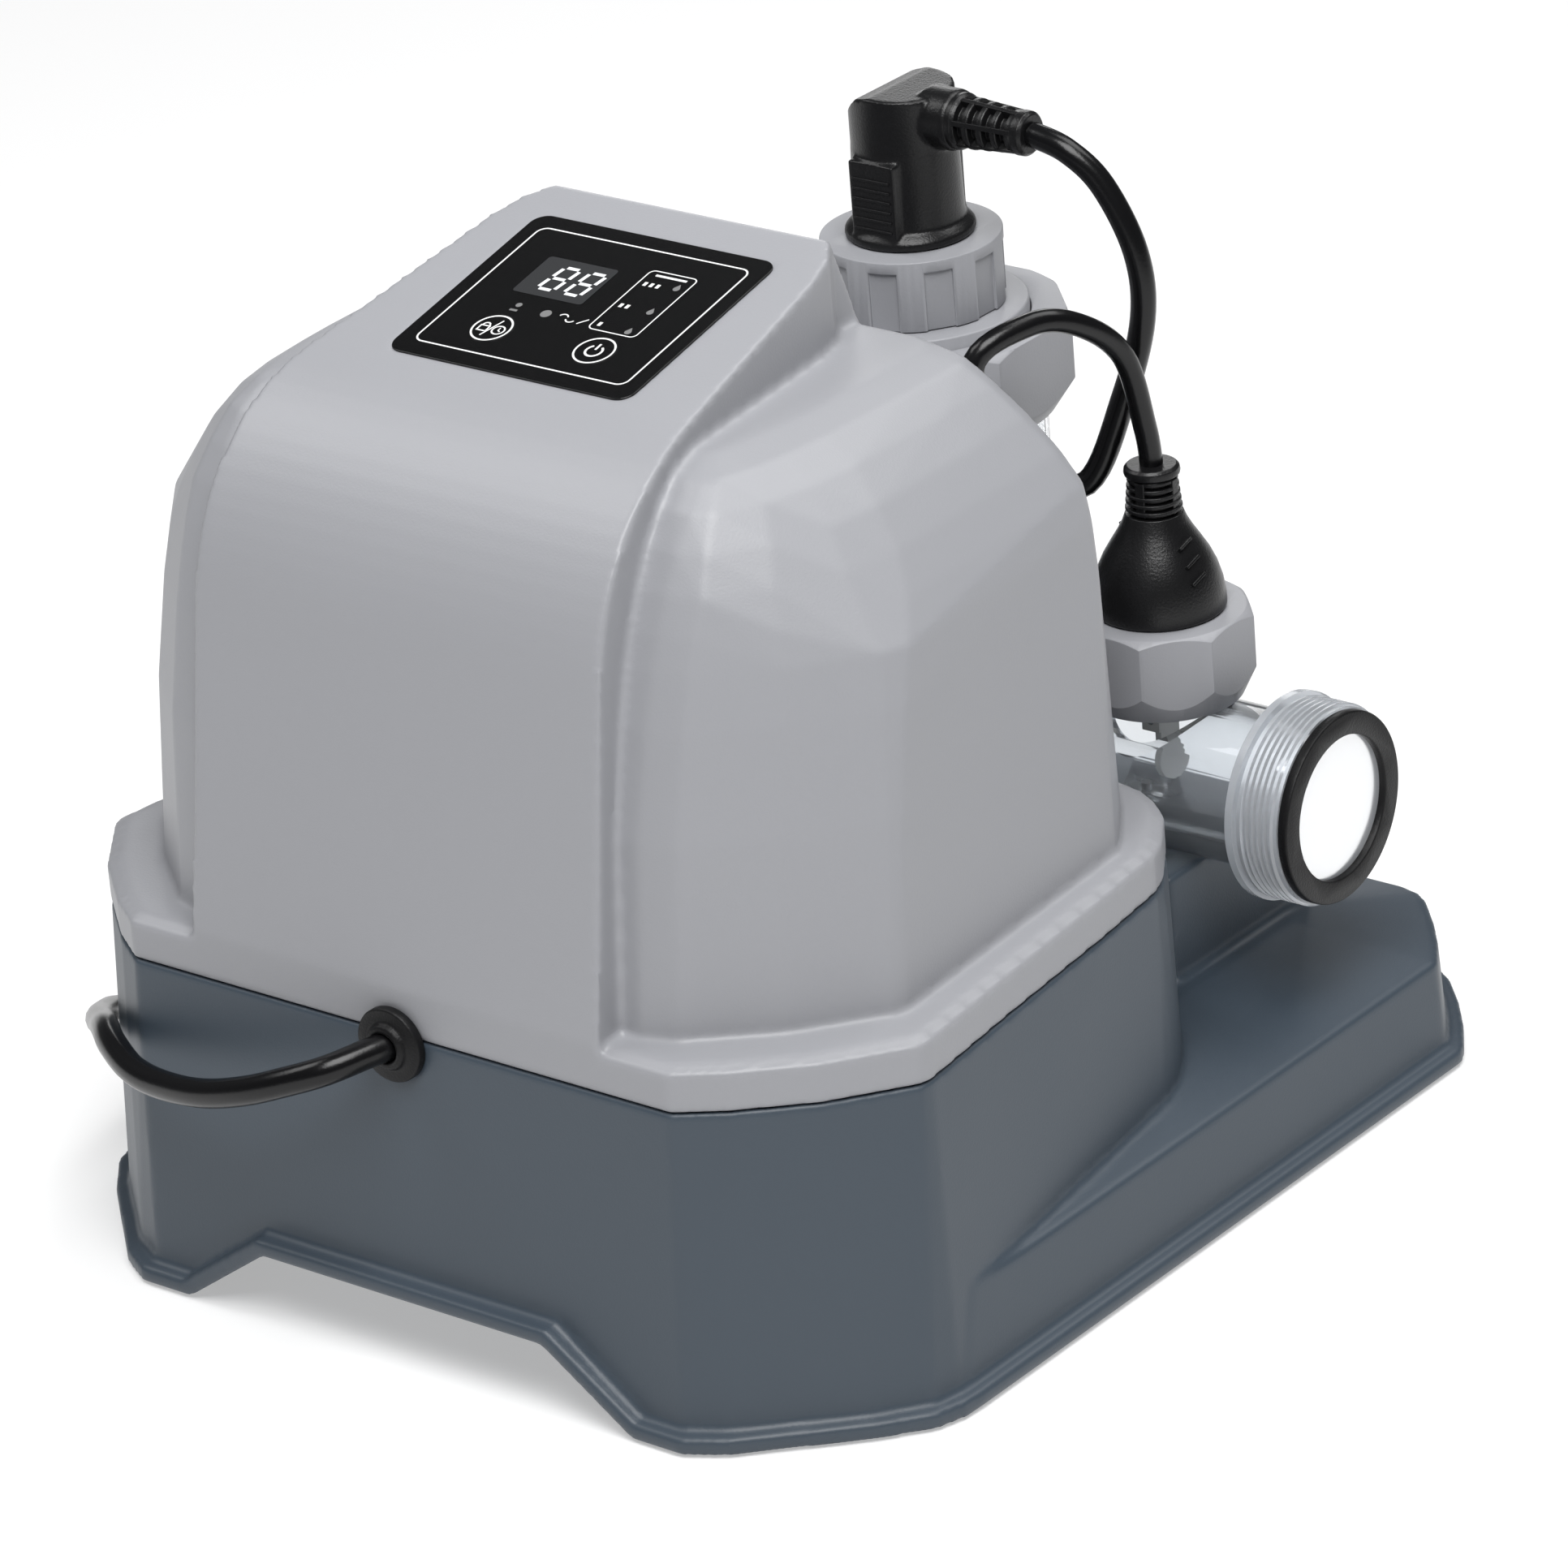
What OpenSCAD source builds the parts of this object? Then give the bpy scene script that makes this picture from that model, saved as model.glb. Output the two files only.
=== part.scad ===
// Salt chlorine generator for above-ground pools: a dry electronics housing (base and cover)
// with a clear flow pipe behind it that carries the electrolytic cell and the flow sensor.
// Millimetres, +Z up, +X right, the front faces -Y. The origin is the middle of the footprint.

/* [Base] */
// Width over the bottom lip
base_w = 307; // [256:1:369]
// Depth over the bottom lip
base_d = 342; // [330:1:411]
// Height of the seam between base and cover
seam_z = 99.5; // [90:0.5:120]
// Depth of the dry housing at the seam
body_d = 209; // [195:1:212]
// Wall thickness of the base moulding
base_wall = 3; // [2.5:0.1:3.6]
// Height of the crease along the platform sides
crease_z = 33; // [30:1:36]
// Height of the platform behind the body
platform_z = 42; // [39:1:50]
// Height of the pedestal that carries the flow pipe
pedestal_z = 74.5; // [70:0.5:80]
// Width of the pedestal
pedestal_w = 196; // [180:1:215]
// Height of the arch cut out of the front skirt
arch_h = 21.5; // [15:0.5:22]
// Width of the arch at its top
arch_top_w = 102; // [60:1:122]
// Height of the bottom lip
lip_h = 6; // [4:0.5:8]
// How far the bottom lip stands out
lip_out = 3.5; // [2:0.5:5]

/* [Cover] */
// Overall height of the cover above the floor
cover_z = 287; // [265:1:344]
// Wall thickness of the cover
cover_wall = 3; // [2.5:0.1:3.6]
// Width of the raised front saddle at its foot
saddle_w = 146; // [120:1:150]
// Tilt of the control panel from the horizontal
panel_tilt = 12.6; // [8:0.2:18]
// Lean of the front face from the vertical
front_lean = 8.9; // [6:0.1:11]
// Radius of the bend between front face and panel slope
bend_r = 66; // [40:1:70]
// Height of the ledge band round the foot of the cover
band_h = 12; // [9:0.5:16]

/* [Control panel] */
// Width of the membrane panel
membrane_w = 85; // [80:1:92]
// Length of the membrane panel up the slope
membrane_l = 71; // [66:1:76]
// Diameter of each push button
button_d = 13.2; // [10:0.2:15]
// Distance between the two button centres
button_gap = 36.2; // [30:0.2:44]
// Travel of a push button
button_travel = 0.5; // [0.3:0.1:0.8]
// Width of the display window
window_w = 24.8; // [20:0.2:27]
// Length of the display window up the slope
window_l = 18.3; // [14:0.1:20]

/* [Flow pipe] */
// Length of the flow pipe between its thread ends
pipe_l = 277; // [262:1:330]
// Outer diameter of the flow pipe
pipe_d = 46.8; // [44:0.2:50]
// Wall thickness of the clear mouldings
pipe_wall = 3.2; // [2.8:0.1:4]
// Outer diameter of the hose threads
thread_d = 59.6; // [56:0.2:62]
// Length of each hose thread
thread_l = 14; // [10:0.5:18]
// Thickness of each hose gasket
gasket_t = 3.2; // [2:0.1:4]
// Height of the pipe's axis
pipe_z = 96.3; // [94:0.1:104]

/* [Cell] */
// Outer diameter of the clear cell chamber
chamber_d = 72; // [68:0.5:74]
// Height of the chamber's rim
chamber_z = 206.5; // [190:0.5:240]
// Distance across the corners of the cell nut
cell_nut_d = 92; // [86:0.5:96]
// Outer diameter of the ribbed grip on the cell head
grip_d = 53; // [48:0.5:58]
// Height of the ribbed grip
grip_h = 21.5; // [16:0.5:26]
// Number of electrode plates
plate_count = 7; // [3:2:9]

/* [Sensor] */
// Distance of the flow sensor from the middle of the pipe
sensor_x = 81; // [78:1:88]
// Distance across the corners of the sensor nut
sensor_nut_d = 55; // [52:0.5:58]
// Swing of the paddle in full flow
paddle_swing = 28; // [15:1:35]

/* [Leads] */
// Diameter of the mains cord
cord_d = 8.4; // [7:0.1:9]
// Diameter of the cell lead
cell_lead_d = 7.4; // [6:0.1:8]
// Diameter of the sensor lead
sensor_lead_d = 6.8; // [6:0.1:8]
// Distance a plug is pulled to unplug it
unplug = 18; // [10:1:22]

/* [Hidden] */

base_grey = "#555d65";
cover_grey = "#a9aaad";
soft_black = "#17181a";
clear_tint = "#c9d2dc";
steel = "#b9bcc0";
board_green = "#2c6b45";

fine = 96;          // sides of large round pieces
small = 48;         // sides of small round pieces
fit = 0.3;          // clearance between separate mouldings
slip = 0.05;        // radial clearance of turning and sliding fits
screw_r = 1.5;
screw_head_r = 2.9;
screw_head_h = 2.2;

// Footprint and body outline, measured from the front face at the seam
front_out = 10.5;   // the lip stands this far in front of the seam's front face
mid_y = base_d / 2 - front_out;
foot_z = 1;         // the lip floats this far above the floor; the feet carry the weight
lip_x = base_w / 2;
front_y = -front_out;
rear_y = base_d - front_out;
corner = 54;        // run of the front corner chamfers
rear_cut_x = 41;    // run of the rear corner cuts along X
rear_cut_y = 44;    // run of the rear corner cuts along Y
side_x = lip_x - 8; // half width of the body at the seam
seam_front_x = side_x - 49.5;
taper = 14;         // the body's sides run in by this much towards the rear
pipe_y = rear_y - 80.5;
pipe_r = pipe_d / 2;
bore_r = pipe_r - pipe_wall;
pedestal_front_y = pipe_y - 26;
pedestal_rear_y = pipe_y + 40;
skirt_in = 4.5;     // the walls start this far inside the lip's edge
plate_z = 24;       // underside of the bottom plate
plate_t = 3;
plate_top = plate_z + plate_t;

function both_sides(half) =
    concat(half, [for (i = [len(half) - 1:-1:0]) [-half[i][0], half[i][1]]]);

footprint = both_sides([[lip_x - corner - 1.5, front_y], [lip_x - corner + 10, front_y + 6.5],
    [lip_x - 14.7, front_y + corner - 20], [lip_x - 3.5, front_y + corner - 6.5],
    [lip_x - 0.8, front_y + corner + 2], [lip_x, front_y + corner + 9], [lip_x, rear_y - rear_cut_y],
    [lip_x - 2, rear_y - rear_cut_y + 4.5], [lip_x - 9.4, rear_y - rear_cut_y + 15.5],
    [lip_x - 18.1, rear_y - rear_cut_y + 26.4], [lip_x - 28.7, rear_y - 6.3],
    [lip_x - 35, rear_y - 2], [lip_x - rear_cut_x - 3, rear_y]]);
seam_outline = both_sides([[seam_front_x, 0], [seam_front_x + 13.2, 8.7], [seam_front_x + 32, 25.2],
    [side_x - 0.5, 47.3], [side_x, 51], [side_x - 5, body_d - 115.4], [side_x - 10, body_d - 66.3],
    [side_x - taper, body_d - 35.2], [side_x - taper - 3, body_d - 27.4],
    [side_x - taper - 12.5, body_d - 12.8], [side_x - taper - 20, body_d - 6.4],
    [side_x - taper - 28, body_d - 2], [side_x - taper - 37, body_d]]);

module placed() translate([0, -mid_y, 0]) children();
module plate_slice(z, t = 0.02) translate([0, 0, z]) linear_extrude(t) children();
module along_x(w) rotate([90, 0, 90]) linear_extrude(w, center = true) children();
module along_y(y0, y1) translate([0, y1, 0]) rotate([90, 0, 0]) linear_extrude(y1 - y0) children();
module at_each(places) for (p = places) translate(p) children();
module tube(r, h, hole, sides = small) difference() {
    cylinder(h, r = r, $fn = sides);
    translate([0, 0, -1]) cylinder(h + 2, r = hole, $fn = sides);
}
module pan_screw(length) {
    cylinder(length, r = screw_r, $fn = small);
    translate([0, 0, -screw_head_h]) cylinder(screw_head_h, r = screw_head_r, $fn = small);
}

// ---------------------------------------------------------------- base
arch_bottom_w = arch_top_w + 59;
arch_outline = [[-arch_bottom_w / 2 - 3, -1], [-arch_bottom_w / 2, 1], [-arch_top_w / 2, arch_h],
    [arch_top_w / 2, arch_h], [arch_bottom_w / 2, 1], [arch_bottom_w / 2 + 3, -1]];
cover_screw_front = [side_x - 30, 29];
cover_screw_rear = [side_x - taper - 14, body_d - 26];
cover_screw_places = [for (s = [-1, 1], p = [cover_screw_front, cover_screw_rear])
    [s * p[0], p[1], 0]];
plate_screw_x = lip_x - 20;
plate_screw_places = [for (s = [-1, 1], y = [60, 160, rear_y - 62]) [s * plate_screw_x, y, 0]];
pipe_screw_places = [for (x = [-58, 58], y = [-15, 15]) [x, pipe_y + y, 0]];
grommet_z = seam_z - 2;
grommet_neck_r = 7.4;
grommet_lip_r = 11;
lead_neck_r = 5.2;
column_r = 6;
column_bore_r = 4.1;
rib_t = 3;
plate_post_h = 5;
ledge_screw_z = seam_z - 12;

body_foot = both_sides([[lip_x - corner - 3.5, front_y + skirt_in], [lip_x - corner + 8, front_y + 10.5],
    [lip_x - 18, front_y + corner - 18], [lip_x - 7, front_y + corner - 4],
    [lip_x - 5, front_y + corner + 6], [lip_x - 9, front_y + corner + 40],
    [lip_x - 14.5, body_d - 80], [lip_x - 17.5, body_d - 56], [lip_x - 19.5, body_d - 41],
    [lip_x - 23, body_d - 28], [lip_x - 28, body_d - 18], [lip_x - 36, body_d - 8],
    [lip_x - 50, body_d + 1], [lip_x - 58, body_d + 3]]);
module body_shape(inset) hull() {
    plate_slice(0) offset(delta = -inset) polygon(body_foot);
    plate_slice(seam_z - 0.02) offset(delta = -inset) polygon(seam_outline);
}

module platform_shape(inset) hull() {
    plate_slice(0) offset(delta = -skirt_in - inset) polygon(footprint);
    plate_slice(crease_z - inset) offset(delta = -skirt_in - 2 - inset)
        intersection() {
            polygon(footprint);
            translate([-base_w, 54]) square([2 * base_w, base_d]);
        }
    plate_slice(platform_z - inset) offset(delta = -skirt_in - 44 - inset)
        intersection() {
            polygon(footprint);
            translate([-base_w, 90]) square([2 * base_w, rear_y - 90 + 34]);
        }
}

module pedestal_shape(inset) hull() {
    plate_slice(5) translate([-pedestal_w / 2 - 3 + inset, pedestal_front_y - 3 + inset])
        square([pedestal_w + 6 - 2 * inset, pedestal_rear_y - pedestal_front_y + 6 - 2 * inset]);
    plate_slice(pedestal_z - inset - 0.02) translate([-pedestal_w / 2 + inset, pedestal_front_y + inset])
        square([pedestal_w - 2 * inset, pedestal_rear_y - pedestal_front_y - 2 * inset]);
}

module base_solid(inset) {
    body_shape(inset);
    platform_shape(inset);
    pedestal_shape(inset);
}

// Posts and ribs that stand inside the hollow and join its walls
module inner_posts() {
    at_each(pipe_screw_places) translate([0, 0, pedestal_z - base_wall - 5])
        cylinder(10, r = 4.5, $fn = small);
    for (p = cover_screw_places, s = sign(p[0])) translate([p[0], p[1], plate_top]) {
        cylinder(seam_z, r = column_r, $fn = small);
        translate([s > 0 ? 0 : -30, -rib_t / 2, 0]) cube([30, rib_t, seam_z]);
    }
    for (p = plate_screw_places, s = sign(p[0])) translate([p[0], p[1], plate_top]) {
        cylinder(plate_post_h, r = 4.5, $fn = small);
        translate([s > 0 ? 0 : -30, -rib_t / 2, 0]) cube([30, rib_t, plate_post_h]);
    }
}

// Hole for the mains cord's grommet, shared by the base and the cover
module cord_hole() translate([0, -20, grommet_z]) rotate([-90, 0, 0])
    cylinder(40, r = grommet_neck_r + 0.2, $fn = small);

module base_housing() placed() color(base_grey) difference() {
    union() {
        difference() {
            union() {
                base_solid(0);
                plate_slice(0, lip_h) polygon(footprint);
            }
            difference() {
                base_solid(base_wall);
                inner_posts();
            }
            translate([0, 0, -1]) linear_extrude(lip_h + 2)
                offset(delta = -skirt_in - base_wall) polygon(footprint);
        }
        intersection() {
            along_y(front_y, front_y + 9) difference() {
                offset(delta = lip_h - 1) polygon(arch_outline);
                translate([-base_w, -20]) square([2 * base_w, 20]);
            }
            plate_slice(0, arch_h + lip_h) polygon(footprint);
            translate([-base_w, front_y, 0]) cube([2 * base_w, front_out + 1.5, 60]);
        }
    }
    translate([-base_w, -base_d, foot_z - 10]) cube([2 * base_w, 3 * base_d, 10]);
    along_y(front_y - 5, front_y + 34) polygon(arch_outline);
    at_each(cover_screw_places) {
        cylinder(ledge_screw_z, r = column_bore_r, $fn = small);
        cylinder(seam_z + 1, r = 2.2, $fn = small);
    }
    at_each(plate_screw_places) translate([0, 0, plate_top - 1]) cylinder(plate_post_h + 0.5, r = 1.2, $fn = small);
    at_each(pipe_screw_places) translate([0, 0, pedestal_z - 20]) cylinder(25, r = 1.8, $fn = small);
    translate([0, pipe_y, pipe_z]) rotate([0, 90, 0])
        cylinder(base_w, r = pipe_r + fit, $fn = fine, center = true);
    cord_hole();
    translate([0, -20 - 0.1, grommet_z]) rotate([-90, 0, 0])
        cylinder(20, r = grommet_lip_r + fit, $fn = fine);
}

foot_places = [for (s = [-1, 1], y = [42, rear_y - 62]) [s * (lip_x - 48), y, 0]];
post_r = 12;
foot_r = 9.5;
bottom_outline_in = skirt_in + base_wall + 2.2;

module bottom_plate() placed() color(base_grey) difference() {
    union() {
        plate_slice(plate_z, plate_t) offset(delta = -bottom_outline_in) polygon(footprint);
        at_each(foot_places) translate([0, 0, 3]) cylinder(plate_z - 2, r = post_r, $fn = small);
    }
    at_each(foot_places) translate([0, 0, 2]) cylinder(7, r = 4 + slip, $fn = small);
    at_each(plate_screw_places) translate([0, 0, plate_z - 1]) cylinder(plate_t + 2, r = 1.8, $fn = small);
    at_each(cover_screw_places) translate([0, 0, plate_z - 1]) cylinder(plate_t + 2, r = column_r - 1, $fn = small);
    for (s = [-1, 1]) translate([s * 11, clamp_y + 6, plate_z - 1]) cylinder(plate_t + 2, r = 1.2, $fn = small);
}

module rubber_feet() placed() color(soft_black) at_each(foot_places) {
    cylinder(3, r1 = foot_r - 1, r2 = foot_r, $fn = small);
    cylinder(8.5, r = 4, $fn = small);
}

module bottom_plate_screws() placed() color(steel) at_each(plate_screw_places)
    translate([0, 0, plate_z]) pan_screw(7);

// ---------------------------------------------------------------- cover
top_y = 154;        // the saddle's top ends here
tt = tan(panel_tilt);
tl = tan(front_lean);
lean_z = seam_z + 14.5;
knee_z = (cover_z - top_y * tt - lean_z * tl * tt) / (1 - tl * tt);
knee_y = (knee_z - lean_z) * tl;
turn = 90 - front_lean - panel_tilt;
knee_run = bend_r * tan(turn / 2);
bend_c = [knee_y - knee_run * sin(front_lean) + bend_r * cos(front_lean),
    knee_z - knee_run * cos(front_lean) - bend_r * sin(front_lean)];
bend_steps = 14;
back_lean = 15.7;   // the back wall leans forward by this angle
wall_foot_z = seam_z + band_h + 1.5;
back_foot_y = body_d - 4;
function back_y(z) = back_foot_y - (z - wall_foot_z) * tan(back_lean);

saddle_profile = concat(
    [[0, seam_z], [0, lean_z]],
    [for (i = [0:bend_steps]) let (a = 180 - front_lean - turn * i / bend_steps)
        bend_c + bend_r * [cos(a), sin(a)]],
    [[top_y, cover_z], [back_y(cover_z - 20), cover_z - 20], [back_y(seam_z), seam_z]]);
saddle_plan = both_sides([[saddle_w / 2, -1], [saddle_w / 2 - 4, 48], [saddle_w / 2 - 9, 83],
    [saddle_w / 2 - 15.5, 135], [saddle_w / 2 - 18.5, 146], [saddle_w / 2 - 24, 154],
    [saddle_w / 2 - 24, body_d]]);

shoulder_z = cover_z - 27;
shoulder_step = 1.5;    // the shoulders' back wall lies this far inside the saddle's
function shoulder_back(z) = back_y(z) - shoulder_step;
rise = shoulder_z - 260;
wide = side_x - 145.5;
// Half outline of the shoulders at one height: points along the front and side, then points
// round the rear corner, whose second number is their distance from the back wall
function shoulder_row(z, front, corner) = let (points = concat(front,
    [for (p = corner) [p[0], shoulder_back(z) - p[1]]]))
    [z, [for (p = points) [p[0] + (p[0] > 85 ? wide : 0), p[1]]]];
shoulder_rows = [
    shoulder_row(seam_z, [[79, 11], [89.7, 14.4], [112, 32.4], [130.5, 54], [132, 58]],
        [[123.7, 40.6], [118.8, 31.9], [105.7, 12.9], [97.4, 3.9], [90, 1.9]]),
    shoulder_row(seam_z + 14, [[79, 11], [89.7, 14.4], [112, 32.4], [130.5, 55], [131.6, 58.5]],
        [[123.3, 36.6], [118.8, 28.5], [105.7, 10.2], [97.4, 1.9], [90, 0]]),
    shoulder_row(seam_z + 68.5 + rise, [[79, 17], [90, 20], [111.5, 38], [129.3, 60.5], [131, 65]],
        [[123.4, 26.6], [122, 18.6], [113.5, 7.1], [105, 1.1], [95, 0]]),
    shoulder_row(seam_z + 98.5 + rise, [[79.5, 23.5], [90, 26.5], [110, 43.5], [127.5, 65], [130, 71]],
        [[123.3, 22.2], [122.3, 10.7], [116, 3.7], [106, 0.4], [90, 0]]),
    shoulder_row(seam_z + 113.5 + rise, [[79.5, 28], [90, 31], [109, 47.5], [125.5, 68], [128.8, 76]],
        [[122.9, 16], [121.8, 7.4], [114, 0.9], [104, 0], [86, 0]]),
    shoulder_row(seam_z + 123 + rise, [[79.5, 31.5], [90, 34.5], [106.5, 50], [119, 69.5], [123, 84]],
        [[121, 15.3], [120, 5.3], [117, 1.6], [108, 0], [84, 0]]),
    shoulder_row(seam_z + 133 + rise, [[79.5, 36], [90, 39], [102.5, 53.5], [113, 71.5], [116, 90]],
        [[114.5, 20], [113.5, 5], [111, 1], [104, 0], [82, 0]]),
    shoulder_row(seam_z + 143 + rise, [[79.5, 42], [87.5, 45], [98.5, 59], [105, 76], [107.5, 93]],
        [[106.5, 27.6], [105.2, 5.6], [102.8, 1.1], [96, 0], [78, 0]]),
    shoulder_row(seam_z + 151.5 + rise, [[79, 49], [85, 52], [92.5, 65], [96, 80], [97.8, 97]],
        [[97.5, 27], [96.5, 5.3], [94, 1.1], [87, 0], [72, 0]]),
    shoulder_row(seam_z + 157.5 + rise, [[77, 57], [81, 60], [84.5, 71], [86.5, 84], [88, 99]],
        [[89, 31], [89, 6], [86.5, 1.2], [79, 0], [62, 0]]),
    shoulder_row(seam_z + 160.5 + rise, [[70, 68], [73, 71], [74.5, 80], [76, 90], [77.5, 103]],
        [[79, 36], [78.5, 10], [75.5, 3.7], [68, 0], [52, 0]])];

module saddle_shape(inset) intersection() {
    along_x(base_w) offset(delta = -inset) polygon(saddle_profile);
    plate_slice(0, 2 * cover_z) offset(delta = -inset) polygon(saddle_plan);
}
module shoulder_shape(inset) hull() for (row = shoulder_rows)
    plate_slice(row[0] - (row[0] > shoulder_z - 5 ? inset : 0)) offset(delta = -inset)
        polygon(both_sides(row[1]));

panel_y = 104.9;
panel_z = cover_z - (top_y - panel_y) * tt;
membrane_t = 1;
membrane_sink = 0.7;
module on_panel() translate([0, panel_y, panel_z]) rotate([panel_tilt, 0, 0]) children();
module rounded(w, l, r) offset(r = r, $fn = 32) square([w - 2 * r, l - 2 * r], center = true);

button_y = -17.7;
button_places = [for (s = [-1, 1]) [s * button_gap / 2, button_y, 0]];
window_at = [-window_w / 2 - 0.2, 8.9, 0];
led_places = [[22.7, 15.7, 0], [22.7, 3.5, 0], [22.7, -6.6, 0], [-7.4, -6.8, 0], [-17.9, -6.7, 0]];
board_drop = 11;    // the display board hangs this far below the panel surface
board_w = 88;
board_l = 66;
board_t = 1.6;
board_screw_places = [for (x = [-40, 40], y = [-29, 29]) [x, y, 0]];
opening_w = 66;
opening_l = 54;

grommet_gap = 44;
rear_grommet_z = 150;
lead_places = [[22, back_y(rear_grommet_z), rear_grommet_z],
    [22 + grommet_gap, shoulder_back(rear_grommet_z), rear_grommet_z]];
// Places a gland square to the leaning back wall
module at_gland(i) translate(lead_places[i]) rotate([back_lean, 0, 0]) rotate([-90, 0, 0]) children();

module band() difference() {
    union() {
        plate_slice(seam_z, band_h) polygon(seam_outline);
        plate_slice(seam_z + band_h, 1.5) offset(delta = -3) polygon(seam_outline);
    }
    plate_slice(seam_z - 1, band_h + 1 - cover_wall + 1.5) offset(delta = -cover_wall) polygon(seam_outline);
}

module top_cover() placed() color(cover_grey) difference() {
    union() {
        difference() {
            union() {
                band();
                saddle_shape(0);
                shoulder_shape(0);
            }
            difference() {
                union() {
                    saddle_shape(cover_wall);
                    shoulder_shape(cover_wall);
                    translate([0, 0, seam_z - 1]) linear_extrude(5) offset(delta = -cover_wall)
                        polygon(seam_outline);
                }
                translate([0, 0, seam_z]) at_each(cover_screw_places) cylinder(12, r = 4.2, $fn = small);
            }
        }
        at_each(cover_screw_places) translate([0, 0, seam_z]) cylinder(band_h, r = 4.2, $fn = small);
        on_panel() at_each(board_screw_places) translate([0, 0, -board_drop]) cylinder(board_drop - 2, r = 3.2, $fn = small);
    }
    at_each(cover_screw_places) translate([0, 0, seam_z - 1]) cylinder(band_h - 1.5, r = 1.2, $fn = small);
    on_panel() {
        translate([0, 0, -membrane_sink]) linear_extrude(10) rounded(membrane_w + fit, membrane_l + fit, 5);
        translate([0, 0, -8]) linear_extrude(10) rounded(opening_w, opening_l, 3);
        at_each(board_screw_places) translate([0, 0, -board_drop - 1]) cylinder(8, r = 1.2, $fn = small);
    }
    cord_hole();
    for (i = [0, 1]) at_gland(i) translate([0, 0, -10]) cylinder(12, r = lead_neck_r + fit, $fn = small);
}

module cover_screws() placed() color(steel) at_each(cover_screw_places)
    translate([0, 0, ledge_screw_z]) pan_screw(20);

module membrane_panel() placed() color(soft_black) on_panel() translate([0, 0, -membrane_sink])
    difference() {
        linear_extrude(membrane_t) rounded(membrane_w, membrane_l, 5);
        translate([0, 0, -1]) {
            at_each(button_places) cylinder(4, r = button_d / 2 + fit, $fn = small);
            translate(window_at) linear_extrude(4) rounded(window_w, window_l, 2);
            at_each(led_places) cylinder(4, r = 1.6, $fn = small);
        }
    }

switch_h = 5;
module push_button(at) placed() color(soft_black) on_panel() translate(at) {
    translate([0, 0, -membrane_sink]) cylinder(membrane_t + 0.1, r = button_d / 2, $fn = small);
    translate([0, 0, switch_h + button_travel + fit - board_drop])
        cylinder(board_drop - switch_h - button_travel - fit - membrane_sink + 0.1, r = 2, $fn = small);
}
module timer_button() push_button(button_places[0]);
module power_button() push_button(button_places[1]);

module display_module() placed() color("#3a3f46") on_panel() translate(window_at)
    translate([0, 0, -board_drop]) linear_extrude(board_drop - 0.2) rounded(window_w - 0.6, window_l - 0.6, 1.8);

module indicator_leds() placed() color("#dfe6ea") on_panel() at_each(led_places)
    translate([0, 0, -board_drop]) cylinder(board_drop - 0.1, r = 1.4, $fn = small);

module button_switches() placed() color("#303236") on_panel() at_each(button_places)
    translate([0, 0, -board_drop]) {
        translate([-3, -3, 0]) cube([6, 6, switch_h - 1.5]);
        cylinder(switch_h, r = 1.6, $fn = small);
    }

module display_board() placed() color(board_green) on_panel() translate([0, 0, -board_drop - board_t])
    difference() {
        linear_extrude(board_t) square([board_w, board_l], center = true);
        translate([0, 0, -1]) at_each(board_screw_places) cylinder(4, r = 1.7, $fn = small);
    }

module display_board_screws() placed() color(steel) on_panel() at_each(board_screw_places)
    translate([0, 0, -board_drop - board_t]) pan_screw(7);

// ---------------------------------------------------------------- electronics on the bottom plate
pcb_w = 150;
pcb_l = 100;
pcb_y = 112;
pcb_z = plate_top + 8;
pcb_places = [for (x = [-68, 68], y = [-43, 43]) [x, pcb_y + y, 0]];

module power_board() placed() color(board_green) difference() {
    translate([-pcb_w / 2, pcb_y - pcb_l / 2, pcb_z]) cube([pcb_w, pcb_l, board_t]);
    at_each(pcb_places) cylinder(2 * pcb_z, r = 1.7, $fn = small);
}
module board_standoffs() placed() color(steel) at_each(pcb_places)
    translate([0, 0, plate_top]) tube(3.2, pcb_z - plate_top, 1.2);
module board_screws() placed() color(steel) at_each(pcb_places)
    translate([0, 0, pcb_z + board_t]) mirror([0, 0, 1]) pan_screw(7);
module transformer() placed() color("#8a4b2f") translate([-66, pcb_y - 26, pcb_z + board_t]) {
    translate([0, 6, 0]) cube([58, 40, 44]);
    translate([10, 0, 6]) cube([38, 52, 32]);
}
module heat_sink() placed() color("#c3c6c9") translate([22, pcb_y + 22, pcb_z + board_t]) {
    cube([40, 3, 34]);
    for (i = [0:5]) translate([1 + i * 7.2, 2.5, 0]) cube([2, 12, 34]);
}
module terminal_block() placed() color("#3d6e4a") translate([-6, pcb_y - 48, pcb_z + board_t]) difference() {
    cube([52, 10, 11]);
    for (i = [0:5]) translate([4.5 + i * 8.6, 5, 5]) cylinder(8, r = 2.2, $fn = small);
}
clamp_y = 24;
module cord_clamp() placed() color(soft_black) translate([0, clamp_y, grommet_z]) difference() {
    union() {
        rotate([-90, 0, 0]) cylinder(12, r = cord_d / 2 + 4, $fn = small);
        translate([-16, 0, -grommet_z + plate_top]) cube([32, 12, 6]);
        translate([-6, 0, -grommet_z + plate_top]) cube([12, 12, grommet_z - plate_top - cord_d / 2 - 1]);
    }
    translate([0, -1, 0]) rotate([-90, 0, 0]) cylinder(14, r = cord_d / 2 + slip, $fn = small);
    for (s = [-1, 1]) translate([s * 11, 6, -grommet_z]) cylinder(plate_top + 12, r = 1.7, $fn = small);
}
module cord_clamp_screws() placed() color(steel) for (s = [-1, 1])
    translate([s * 11, clamp_y + 6, plate_top + 6]) mirror([0, 0, 1]) pan_screw(8);

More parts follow.
